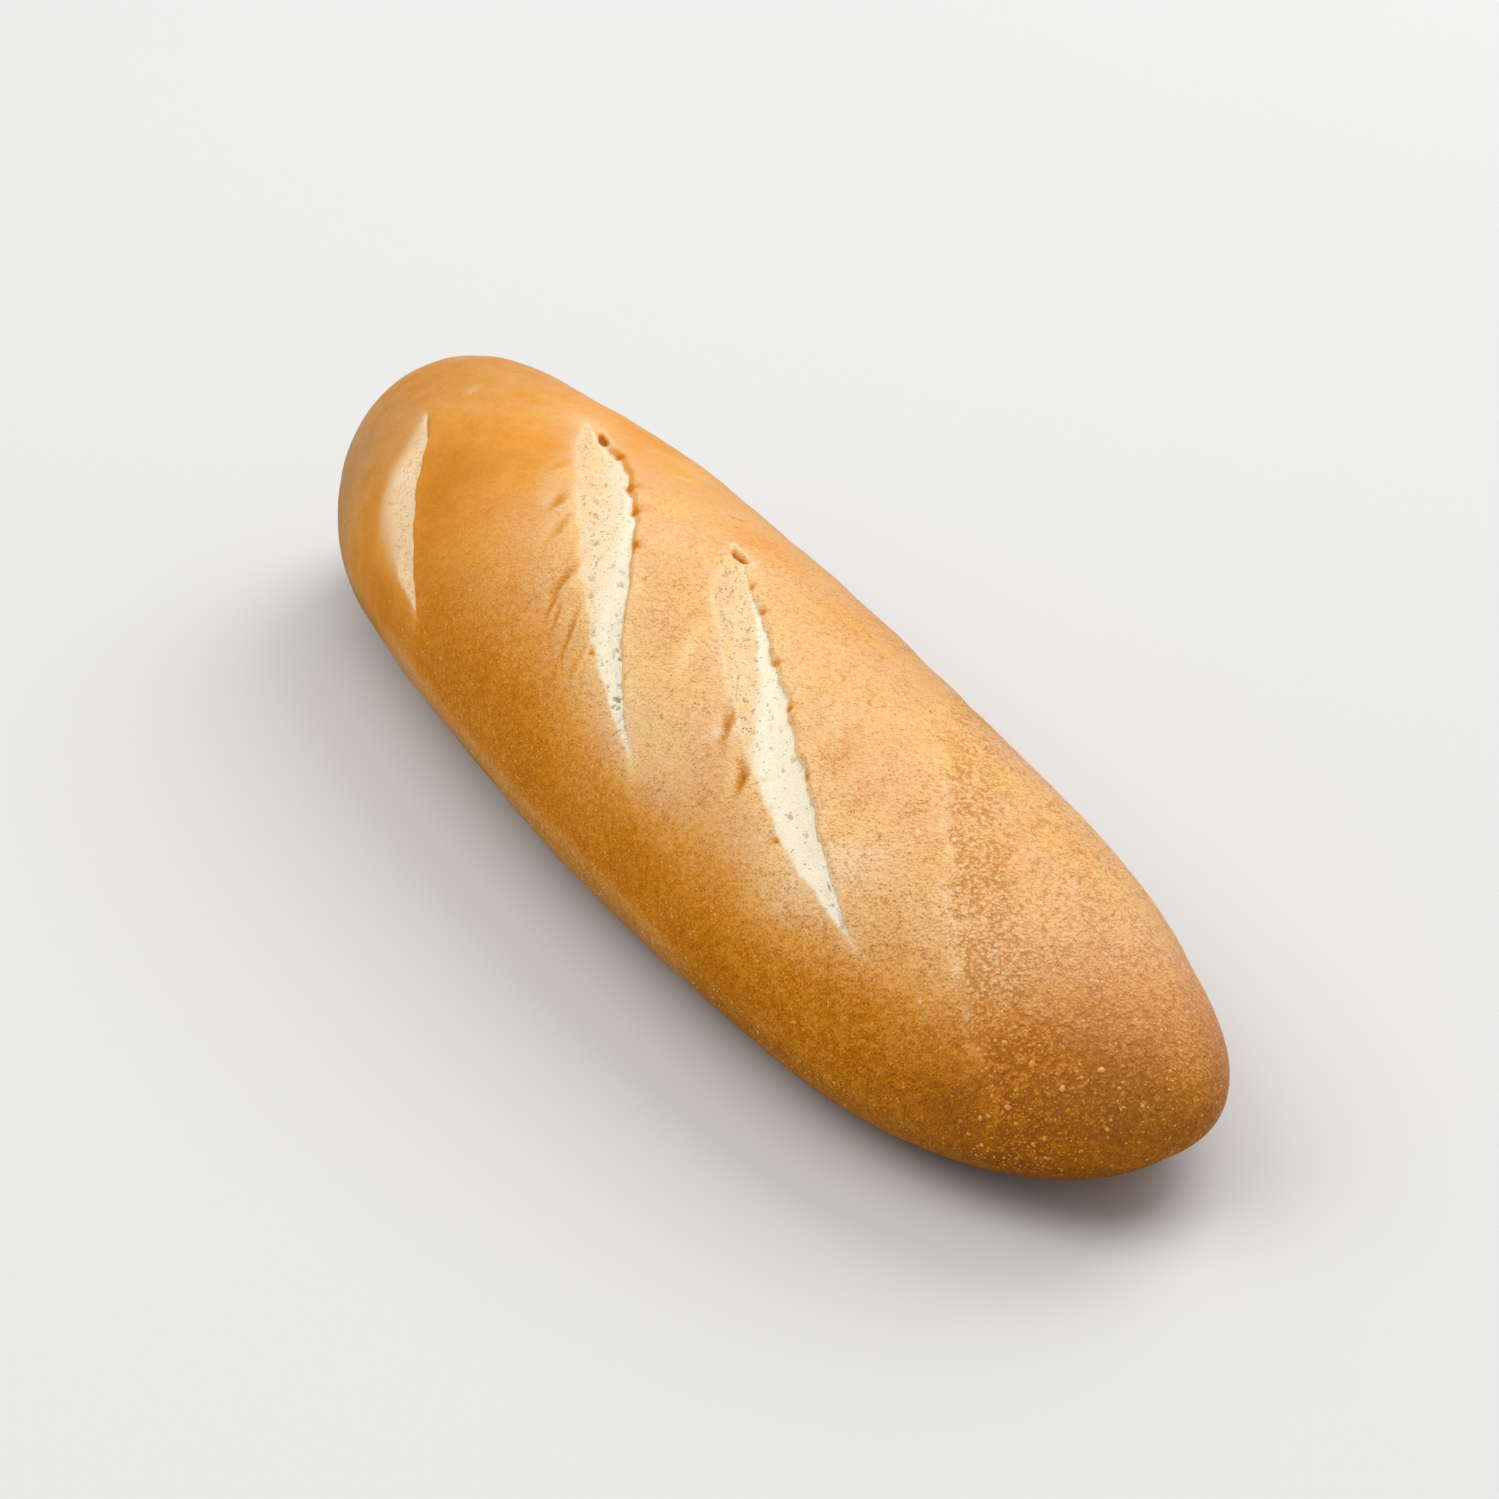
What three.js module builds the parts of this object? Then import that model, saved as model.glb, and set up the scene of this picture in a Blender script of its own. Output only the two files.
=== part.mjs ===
// A short baguette: one solid loaf with three slanting slashes across its top.
// Millimetres. +X runs from the broad end to the slim end, +Z is up, and the
// origin is at the middle of the loaf's box, on the surface that it rests on.
import * as THREE from 'three';

// ---------------------------------------------------------------- driving dimensions
const loafLength = 252;

// Full width and height of the body at its broad end, its middle and its slim end,
// before the ends close.
const width = { broad: 57.4, middle: 74.3, slim: 50.7 };
const height = { broad: 49.7, middle: 47.3, slim: 30.9 };

// How each end closes: the length over which it rounds off, the two powers of its
// rounded outline, how much of that outline its height follows, and how high its
// tip stands over the base.
const broadEnd = { reach: 50.4, swell: 2.6, blunt: 2.157, heightPower: 0.85, tipRise: 13 };
const slimEnd = { reach: 54.7, swell: 2.6, blunt: 2.35, heightPower: 1, tipRise: 14.9 };

// Sideways bow of the loaf's middle, and the sideways hook of its two ends.
const sideBow = -4.3;
const endHook = 0.8;

// Section: the flat share of the base, and the share of the height at which the
// loaf is widest.
const flatShare = 0.59;
const widestShare = 0.36;

// The base bellies down a little to the flat spot that the loaf rests on. The spot
// has four corners: one towards each end of the loaf, and one towards each side.
const restDrop = 1;
const restCorners = [[8, 20], [50, 0], [8, -20], [-60, 0]];

// Slashes. A tip is [millimetres along the loaf from its middle, degrees round the
// section from the crown, positive down the front (-Y) side]. Each edge stands off
// the line between the tips by so many degrees at the line's quarter points.
const slashes = [
  { start: [-82, 27], end: [-41.5, 73], front: [19, 17, 8], back: [2.3, 1.5, 1.7] },
  { start: [-58, -12.7], end: [30.7, 53], front: [4.3, 4.2, 3], back: [10.8, 11.9, 5.1] },
  { start: [-2.5, -14.6], end: [84.7, 49.3], front: [8.6, 9, 6.6], back: [2.9, 4.8, 3.8] },
];

// A slash slopes down from its front edge, is at its depth past this share of its
// width, and stays so to the foot of the lip on its back edge. The lip is this wide
// on the slope, and the crust behind it stands up by the rise and sinks back over
// the fade. Depth and lip reach their full size where the slash is this wide.
const slashDepth = 0.75;
const slopeShare = 0.6;
const lipWidth = 1.2;
const lipRise = 0.35;
const lipFade = 7;
const slashFullWidth = 6;

// Broad places where the loaf stands out or sinks in: the middle of each, as a slash's
// tip is given, its rise, and how far it reaches along and round.
const bulges = [
  { at: [-86, -40], rise: -2.2, reach: [16, 38] },
  { at: [-40, -45], rise: 1.2, reach: [18, 38] },
  { at: [106, -68], rise: -1, reach: [9, 30] },
  { at: [-22, 122], rise: -0.7, reach: [22, 22] },
];

// Slow unevenness of the crust: height of a swell, the lengths of its waves along
// the loaf, and how many waves run round half the section.
const swells = [
  { rise: 0.35, waveLength: 118, wavesRound: 1, shift: 0.7 },
  { rise: 0.25, waveLength: 71, wavesRound: 2, shift: 2.1 },
  { rise: 0.15, waveLength: 43, wavesRound: 3, shift: 4 },
];

// Slashes and swells are full down to the first angle from the crown and gone at the
// second, and so are bulges at their own two angles.
const reliefFullAngle = 80;
const reliefEndAngle = 125;
const bulgeFullAngle = 120;
const bulgeEndAngle = 150;

// Grid of the surface.
const endSteps = 18;
const bodySteps = 60;
const firstBodyRow = endSteps - 1;
const fineFromAngle = -28;
const fineToAngle = 78;
const ringSteps = { underBack: 7, back: 10, top: 34, front: 2, underFront: 7 };

const crustColour = 0xc98b48;

// ---------------------------------------------------------------- helpers
const degree = Math.PI / 180;
const clamp = (value, low, high) => Math.min(high, Math.max(low, value));
const smooth = (share) => share * share * (3 - 2 * share);
const rampDown = (value, full, gone) => smooth(clamp((gone - value) / (gone - full), 0, 1));

// Parabola through three values at the shares 0, 1/2 and 1.
function throughThree(first, middle, last, share) {
  const atFirst = (1 - share) * (1 - 2 * share);
  const atMiddle = 4 * share * (1 - share);
  const atLast = share * (2 * share - 1);
  return first * atFirst + middle * atMiddle + last * atLast;
}

// Smooth curve that is 0 at both ends and takes three values at the quarter points.
function throughQuarters(quarters, share) {
  const knots = [0, ...quarters, 0];
  const last = knots.length - 1;
  const index = Math.min(Math.floor(share * last), last - 1);
  const part = share * last - index;
  const before = knots[Math.max(index - 1, 0)];
  const here = knots[index];
  const next = knots[index + 1];
  const after = knots[Math.min(index + 2, last)];
  const linear = (next - before) / 2;
  const square = before - 2.5 * here + 2 * next - after / 2;
  const cube = (after - before) / 2 + 1.5 * (here - next);
  return here + part * (linear + part * (square + part * cube));
}

// ---------------------------------------------------------------- body
// How far into an end a place is: 0 in the body, 1 at the tip.
const intoEnd = (end, distance) => clamp(1 - distance / end.reach, 0, 1);
const endOutline = (end, into) => Math.max(1 - into ** end.swell, 0) ** (1 / end.blunt);

// The section at a distance along the loaf, measured from its middle.
function sectionAt(along) {
  const share = along / loafLength + 0.5;
  const intoBroad = intoEnd(broadEnd, along + loafLength / 2);
  const intoSlim = intoEnd(slimEnd, loafLength / 2 - along);
  const broadOutline = endOutline(broadEnd, intoBroad);
  const slimOutline = endOutline(slimEnd, intoSlim);
  const bodyWidth = throughThree(width.broad, width.middle, width.slim, share);
  const bodyHeight = throughThree(height.broad, height.middle, height.slim, share);
  const heightOutline = broadOutline ** broadEnd.heightPower * slimOutline ** slimEnd.heightPower;
  const fromMiddle = 2 * share - 1;
  return {
    along,
    halfWidth: (bodyWidth / 2) * broadOutline * slimOutline,
    height: bodyHeight * heightOutline,
    flatShare: flatShare * broadOutline * slimOutline,
    side: sideBow * (1 - fromMiddle ** 2) + endHook * fromMiddle ** 3,
    lift: restDrop + broadEnd.tipRise * (1 - broadOutline) + slimEnd.tipRise * (1 - slimOutline),
  };
}

// Millimetres round the top of the section for each degree.
const roundPerDegree = (section) => (
  degree * (section.halfWidth + section.height * (1 - widestShare)) / 2
);

// ---------------------------------------------------------------- relief
// The edges of a slash at a section, in degrees from the crown, or null past its tips.
function slashEdges(slash, along) {
  const [startAlong, startAngle] = slash.start;
  const [endAlong, endAngle] = slash.end;
  const share = (along - startAlong) / (endAlong - startAlong);
  if (share <= 0 || share >= 1) return null;
  const line = startAngle + (endAngle - startAngle) * share;
  return {
    front: line + throughQuarters(slash.front, share),
    back: line - throughQuarters(slash.back, share),
  };
}

// One slash: the hollow, the lip on its back edge, and the raised crust behind that.
function slashRelief(slash, section, angle) {
  const edges = slashEdges(slash, section.along);
  if (!edges || angle > edges.front) return 0;
  const perDegree = roundPerDegree(section);
  const openShare = Math.min(1, (edges.front - edges.back) * perDegree / slashFullWidth);
  const behindFoot = (edges.back - angle) * perDegree;
  if (behindFoot > lipWidth) return lipRise * openShare * Math.exp((lipWidth - behindFoot) / lipFade);
  if (behindFoot > 0) {
    const upLip = behindFoot / lipWidth;
    return openShare * (lipRise * upLip - slashDepth * (1 - upLip));
  }
  const fromFront = (edges.front - angle) / (edges.front - edges.back);
  return -slashDepth * openShare * smooth(Math.min(1, fromFront / slopeShare));
}

function swellRelief(along, angle) {
  const swell = (wave) => wave.rise
    * Math.sin(2 * Math.PI * along / wave.waveLength + wave.shift)
    * Math.cos(wave.wavesRound * angle * degree + wave.shift);
  return swells.reduce((total, wave) => total + swell(wave), 0);
}

function bulgeRelief(along, angle) {
  const bulge = ({ at, rise, reach }) => (
    rise * Math.exp(-(((along - at[0]) / reach[0]) ** 2) - ((angle - at[1]) / reach[1]) ** 2)
  );
  return bulges.reduce((total, place) => total + bulge(place), 0);
}

function reliefAt(section, angle) {
  const cuts = slashes.reduce((total, slash) => total + slashRelief(slash, section, angle), 0);
  const fine = cuts + swellRelief(section.along, angle);
  const keepFine = rampDown(Math.abs(angle), reliefFullAngle, reliefEndAngle);
  const broad = bulgeRelief(section.along, angle);
  const keepBroad = rampDown(Math.abs(angle), bulgeFullAngle, bulgeEndAngle);
  const roomAtTip = Math.min(1, 2 * section.halfWidth / width.middle);
  return (fine * keepFine + broad * keepBroad) * roomAtTip;
}

// ---------------------------------------------------------------- surface
// A point of the section. The angle runs from the crown, 0, down the front to the
// edge of the flat base, 180, and down the back to its other edge, -180.
function pointAt(section, angle) {
  const across = Math.sin(angle * degree);
  const up = Math.cos(angle * degree);
  const aboveWidest = up >= 0;
  const flat = section.flatShare;
  const reach = aboveWidest ? across : Math.sign(angle) * (flat + (1 - flat) * Math.abs(across));
  const rise = aboveWidest ? widestShare + (1 - widestShare) * up : widestShare * (1 + up);
  const relief = reliefAt(section, angle);
  return new THREE.Vector3(
    section.along,
    section.side - section.halfWidth * reach - relief * across,
    section.lift + section.height * rise + relief * up,
  );
}

// Distances along the loaf, closer together towards the tips, without the tips.
function stations() {
  const half = loafLength / 2;
  const bodyStart = broadEnd.reach - half;
  const bodyEnd = half - slimEnd.reach;
  const closing = (step) => 1 - Math.cos((step / endSteps) * Math.PI / 2);
  const places = [];
  for (let step = 1; step <= endSteps; step += 1) places.push(broadEnd.reach * closing(step) - half);
  for (let step = 1; step < bodySteps; step += 1) {
    places.push(bodyStart + (bodyEnd - bodyStart) * step / bodySteps);
  }
  for (let step = endSteps; step >= 1; step -= 1) places.push(half - slimEnd.reach * closing(step));
  return places;
}

// Angles round the section, closer together where the slashes are.
function ringAngles() {
  const stretches = [
    [-180, -90, ringSteps.underBack],
    [-90, fineFromAngle, ringSteps.back],
    [fineFromAngle, fineToAngle, ringSteps.top],
    [fineToAngle, 90, ringSteps.front],
    [90, 180, ringSteps.underFront],
  ];
  const angles = [-180];
  for (const [from, to, steps] of stretches) {
    for (let step = 1; step <= steps; step += 1) angles.push(from + (to - from) * step / steps);
  }
  return angles;
}

// The same angles at one section, with the two nearest to each slash's lip moved
// onto the foot and the top of that lip, so that the lip stays crisp.
function anglesOnLips(section, angles) {
  const moved = [...angles];
  for (const slash of slashes) {
    const edges = slashEdges(slash, section.along);
    if (!edges) continue;
    const gaps = angles.map((angle) => Math.abs(angle - edges.back));
    const nearest = gaps.indexOf(Math.min(...gaps));
    moved[nearest] = edges.back;
    moved[nearest - 1] = edges.back - lipWidth / roundPerDegree(section);
  }
  return moved;
}

// Faces between each section and the next, closed over the tips. The base between
// the two ends stays open, for the resting spot to close.
function skinFaces(rows, ring, broadTip, slimTip) {
  const faces = [];
  const lastRow = (rows - 1) * ring;
  for (let around = 0; around < ring; around += 1) {
    const next = (around + 1) % ring;
    faces.push(broadTip, next, around);
    for (let row = 0; row < rows - 1; row += 1) {
      const underBody = next === 0 && row >= firstBodyRow && row < firstBodyRow + bodySteps;
      if (underBody) continue;
      const a = row * ring + around;
      const b = row * ring + next;
      faces.push(a, b, b + ring, a, b + ring, a + ring);
    }
    faces.push(slimTip, lastRow + around, lastRow + next);
  }
  return faces;
}

// Faces from the rim of the open base down to the resting spot, and the spot itself.
// Each point of the rim is joined to the corner nearest to it.
function restFaces(rim, points, corners) {
  const nearest = (index) => {
    const gaps = corners.map((corner) => points[corner].distanceTo(points[index]));
    return corners[gaps.indexOf(Math.min(...gaps))];
  };
  const faces = [];
  rim.forEach((here, place) => {
    const next = rim[(place + 1) % rim.length];
    faces.push(here, next, nearest(here));
    if (nearest(next) !== nearest(here)) faces.push(next, nearest(next), nearest(here));
  });
  const [back, slim, front, broad] = corners;
  faces.push(back, slim, broad, slim, front, broad);
  return faces;
}

function loafGeometry() {
  const places = stations();
  const angles = ringAngles();
  const ring = angles.length;
  const points = places.flatMap((along) => {
    const section = sectionAt(along);
    return anglesOnLips(section, angles).map((angle) => pointAt(section, angle));
  });
  const broadTip = points.push(pointAt(sectionAt(-loafLength / 2), 0)) - 1;
  const slimTip = points.push(pointAt(sectionAt(loafLength / 2), 0)) - 1;
  const corners = restCorners.map(([along, across]) => (
    points.push(new THREE.Vector3(along, sideBow + across, 0)) - 1
  ));
  const bodyRows = Array.from({ length: bodySteps + 1 }, (_, step) => firstBodyRow + step);
  const backRim = bodyRows.map((row) => row * ring);
  const frontRim = bodyRows.map((row) => row * ring + ring - 1).reverse();
  const geometry = new THREE.BufferGeometry().setFromPoints(points);
  geometry.setIndex([
    ...skinFaces(places.length, ring, broadTip, slimTip),
    ...restFaces([...backRim, ...frontRim], points, corners),
  ]);
  return geometry;
}

// Puts the middle of the box over the origin, with the base on the ground.
function centreOnBase(geometry) {
  geometry.computeBoundingBox();
  const middle = geometry.boundingBox.getCenter(new THREE.Vector3());
  geometry.translate(-middle.x, -middle.y, 0);
  geometry.computeVertexNormals();
  return geometry;
}

// ---------------------------------------------------------------- the part
const crust = new THREE.MeshStandardMaterial({ color: crustColour, roughness: 0.55, metalness: 0 });
const loaf = new THREE.Mesh(centreOnBase(loafGeometry()), crust);
loaf.name = 'loaf';

const baguette = new THREE.Group();
baguette.add(loaf);

export default baguette;
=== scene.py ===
"""The looks of a short baguette with three open slashes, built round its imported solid.

Lengths are metres and angles are degrees. +X runs from the broad end to the slim end,
+Z is up, and the loaf rests on Z = 0.
"""

import math

import bpy
import numpy as np
from mathutils import Matrix, Vector, noise


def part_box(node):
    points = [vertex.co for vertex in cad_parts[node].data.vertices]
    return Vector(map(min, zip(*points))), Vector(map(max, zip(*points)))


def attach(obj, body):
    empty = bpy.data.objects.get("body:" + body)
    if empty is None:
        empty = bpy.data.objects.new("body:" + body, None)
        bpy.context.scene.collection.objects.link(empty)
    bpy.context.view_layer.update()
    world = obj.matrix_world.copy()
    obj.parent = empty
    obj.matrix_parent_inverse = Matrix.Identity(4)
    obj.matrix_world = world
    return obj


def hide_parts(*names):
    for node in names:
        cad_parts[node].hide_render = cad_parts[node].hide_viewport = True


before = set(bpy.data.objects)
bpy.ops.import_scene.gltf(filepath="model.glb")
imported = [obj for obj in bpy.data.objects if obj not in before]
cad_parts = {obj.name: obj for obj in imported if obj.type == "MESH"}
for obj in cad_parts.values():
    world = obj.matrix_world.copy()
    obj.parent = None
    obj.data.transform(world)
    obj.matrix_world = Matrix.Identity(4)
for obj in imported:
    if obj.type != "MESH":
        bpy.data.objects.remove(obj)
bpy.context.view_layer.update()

# ---------------------------------------------------------------- driving dimensions
MM = 0.001
DEGREE = math.pi / 180

LOAF_LOW, LOAF_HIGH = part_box("loaf")
LOAF_LENGTH = LOAF_HIGH[0] - LOAF_LOW[0]

# Body at the broad end, the middle and the slim end, before the ends close.
BODY_WIDTH = (57.4 * MM, 74.3 * MM, 50.7 * MM)
BODY_HEIGHT = (49.7 * MM, 47.3 * MM, 30.9 * MM)

# How each end closes: the length it rounds off over, the powers of its outline and
# of the height that follows it, and how high its tip stands over the base.
BROAD_END = {"reach": 50.4 * MM, "swell": 2.6, "blunt": 2.157, "height_power": 0.85, "tip_rise": 13 * MM}
SLIM_END = {"reach": 54.7 * MM, "swell": 2.6, "blunt": 2.35, "height_power": 1, "tip_rise": 14.9 * MM}

# How far the middle bows to the front and the ends hook, how much of the width the flat
# base takes, how high the widest line stands, and how far the belly of the base drops.
SIDE_BOW = -4.3 * MM
END_HOOK = 0.8 * MM
FLAT_SHARE = 0.59
WIDEST_SHARE = 0.36
REST_DROP = 1 * MM

# Slashes: tips as (metres along from the middle, degrees round from the crown,
# positive down the front), and how far each edge stands off the line between the
# tips at its quarter points.
SLASHES = (
    {"start": (-82 * MM, 27), "end": (-41.5 * MM, 73), "front": (19, 17, 8), "back": (2.3, 1.5, 1.7)},
    {"start": (-58 * MM, -12.7), "end": (30.7 * MM, 53), "front": (4.3, 4.2, 3), "back": (10.8, 11.9, 5.1)},
    {"start": (-2.5 * MM, -14.6), "end": (84.7 * MM, 49.3), "front": (8.6, 9, 6.6), "back": (2.9, 4.8, 3.8)},
)
# The crumb of each slash: how toasted it is, the share along the slash up to which it
# stays so, over how much of the slash that changes, how much of the toast is lost on the
# way, and how much darker toast is than a mere change of colour makes it. Then the share
# past which the crumb is full of holes, how softly the front edge melts into it, how far
# the crust has torn open in front of the start, how much browner the lip is drawn, and
# how pale the crust is just past the front and back edge.
CRUMBS = (
    {
        "toast": 0.80, "toasted_to": 1.3, "change": 0.10, "lost": 0, "tan": 0, "holed_from": 1,
        "melt": 6.4 * MM, "torn": 0, "rim": 0.10, "front_halo": 0.9, "back_halo": 0.15,
    },
    {
        "toast": 0.95, "toasted_to": 0.60, "change": 0.10, "lost": 0.55, "tan": 0.20, "holed_from": 0.72,
        "melt": 1.4 * MM, "torn": 1.5 * MM, "rim": 0.28, "front_halo": 0.75, "back_halo": 1,
    },
    {
        "toast": 1.00, "toasted_to": 0.45, "change": 0.05, "lost": 0.15, "tan": 0.15, "holed_from": 0.9,
        "melt": 0.8 * MM, "torn": 3.2 * MM, "rim": 0.05, "front_halo": 0.6, "back_halo": 0.9,
    },
)
HOLE_DEPTH = 0.5 * MM

# Relief of a slash: it slopes down from its front edge to its depth past this share
# of its width, up to the lip on its back edge, and the crust behind the lip sinks
# back over the fade. All are full where the slash has its full width.
SLASH_DEPTH = 0.75 * MM
SLOPE_SHARE = 0.6
LIP_WIDTH = 1.2 * MM
LIP_RISE = 0.35 * MM
LIP_FADE = 7 * MM
SLASH_FULL_WIDTH = 6 * MM
LEAST_OPENING = 0.01

# How a slash's edges waver: degrees, then the length and the shift of each of the two
# waves that are multiplied. They waver fully where the slash opens this many degrees.
WAVERS = (
    (0.7, 1.7 * MM, 1, 4.1 * MM, 2),
    (0.25, 0.63 * MM, 3, 1.5 * MM, 1),
)
WAVER_FULL_OPENING = 8
FRONT_EDGE_SEED = 1
BACK_EDGE_SEED = 5

# Edges of the crumb: how wide they are where nothing melts, the shares of the slash
# between which the melting comes in, how far out they start at the front, how far past
# the back edge they close, and how wide a fully open slash is.
CRUMB_EDGE = {
    "width": 0.3 * MM, "melting": (0.80, 0.45), "front": 0.25 * MM, "back": (0.5 * MM, 0.15 * MM),
    "open_width": 0.8 * MM,
}
# Where along a slash its start is torn, and over how much of it; between which shares
# past the start of the holes they come in; and the brown rim behind the back edge.
TORN_PLACE = 0.11
TORN_REACH = 0.10
HOLED_CHANGE = (-0.06, 0.10)
RIM_PLACE = 0.55 * LIP_WIDTH
RIM_HALF_WIDTH = 0.6 * LIP_WIDTH

# The toast ends sooner at the back of a slash, most of all over the last part of the way
# across to its back edge, and it is paler there.
TOAST_SKEW = 0.30
TOAST_BACK_SKEW = 0.14
TOAST_BACK = (0.7, 1)
TOAST_AT_FRONT = 1.1
TOAST_LOST_AT_BACK = 0.3

# The pale halo round a slash fades in two parts, each with its strength and its length,
# and past the tips over this share of the slash.
HALO_FADES = ((0.55, 1.3 * MM), (0.45, 3.6 * MM))
HALO_PAST_TIPS = 0.04

# Tucks are the small browned dents where the crust tore at a slash's edge: the slash,
# the edge, the share of the way along it, and the dent's length, half width and depth.
TUCKS = (
    (1, "back", 0.19, 2.8 * MM, 1.2 * MM, 0.35 * MM),
    (1, "back", 0.32, 4.8 * MM, 1.9 * MM, 0.60 * MM),
    (1, "back", 0.40, 4.6 * MM, 1.7 * MM, 0.60 * MM),
    (1, "back", 0.52, 4.6 * MM, 1.8 * MM, 0.55 * MM),
    (1, "front", 0.72, 2.2 * MM, 1.0 * MM, 0.35 * MM),
    (2, "back", 0.13, 2.8 * MM, 1.1 * MM, 0.40 * MM),
    (2, "back", 0.22, 3.2 * MM, 1.0 * MM, 0.35 * MM),
    (2, "back", 0.375, 3.0 * MM, 1.1 * MM, 0.50 * MM),
    (2, "back", 0.50, 3.6 * MM, 0.9 * MM, 0.45 * MM),
    (2, "back", 0.66, 2.2 * MM, 1.0 * MM, 0.25 * MM),
    (2, "front", 0.73, 2.4 * MM, 0.9 * MM, 0.30 * MM),
)
# Each leans along the loaf as it runs outwards, sways, narrows towards its tip and is
# drawn darker, partly stained brown and partly painted shade in the dent, most of all in its core.
TUCK_LEAN = {"back": -0.5, "front": 0.5}
TUCK = {
    "sway": 0.35 * MM, "sway_length": 1.1 * MM, "sway_shift": 40, "mouth": (-0.8 * MM, 0.5 * MM),
    "tip": 0.1 * MM, "mouth_narrowing": 0.8, "narrowing": 0.7, "stain": 0.6, "stain_power": 1.3,
    "core_stain_and_shade": 0.4, "core": (0.45, 0.85),
}

# Splits are narrow holes in the crust: place along and round, half length, half width,
# how many degrees their length turns from +X towards the front, and depth.
SPLITS = (
    (-49.5 * MM, -11.2, 2.7 * MM, 0.7 * MM, 14, 0.7 * MM),
    (-0.4 * MM, -13.2, 2.7 * MM, 0.7 * MM, 6, 1.5 * MM),
    (-16.5 * MM, -28.3, 1.8 * MM, 0.4 * MM, -68, 0.5 * MM),
)
# Each bends a little. Its rim stands up behind it, and it counts as deep from this depth.
# The borders of hole and rim are counted in its half lengths and half widths.
SPLIT = {
    "bend": 0.12, "full_depth": 1.2 * MM, "hole": (1.25, 0.6), "behind": 0.6, "rim_place": 1.5,
    "rim_width": 0.45, "rim_rise": 0.3 * MM,
}

# Creases that fan off the front edges of the middle and last slash: place along and
# round, half length, half width, turn as above, depth, and how dark their painted shade is.
CREASES = (
    (-43.0 * MM, 8.1, 2.2 * MM, 0.9 * MM, 74, 0.14 * MM, 0.45),
    (-32.8 * MM, 16.3, 2.2 * MM, 1.1 * MM, 57, 0.42 * MM, 1.15),
    (-25.4 * MM, 21.6, 3.0 * MM, 0.9 * MM, 57, 0.30 * MM, 0.90),
    (-16.6 * MM, 27.0, 4.5 * MM, 0.7 * MM, 55, 0.18 * MM, 0.40),
    (-13.1 * MM, 30.2, 3.2 * MM, 1.1 * MM, 69, 0.48 * MM, 1.10),
    (-10.3 * MM, 37.1, 3.6 * MM, 0.6 * MM, 52, 0.26 * MM, 0.90),
    (-7.0 * MM, 39.0, 3.4 * MM, 0.5 * MM, 46, 0.22 * MM, 0.80),
    (-1.7 * MM, 39.3, 4.6 * MM, 0.6 * MM, 53, 0.34 * MM, 1.10),
    (4.6 * MM, 43.0, 3.6 * MM, 0.6 * MM, 60, 0.18 * MM, 0.60),
    (37.9 * MM, 26.9, 3.6 * MM, 0.9 * MM, 45, 0.28 * MM, 1.30),
    (38.8 * MM, 28.6, 1.6 * MM, 0.7 * MM, 45, 0.12 * MM, 0.90),
    (47.9 * MM, 34.6, 3.2 * MM, 0.9 * MM, 49, 0.28 * MM, 1.30),
    (48.3 * MM, 35.2, 1.5 * MM, 0.7 * MM, 49, 0.12 * MM, 0.90),
)
# Each sways and bends, narrows towards its front end, and has a ridge on both sides,
# this many half widths from its middle, raised and painted paler as lit.
CREASE = {
    "sway": 0.3 * MM, "sway_length": 1.6 * MM, "bend": 0.05, "narrowing": 0.3, "ridge_place": 1.9,
    "ridge_rise": 0.3, "ridge_painted_light": 0.28,
}
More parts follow.
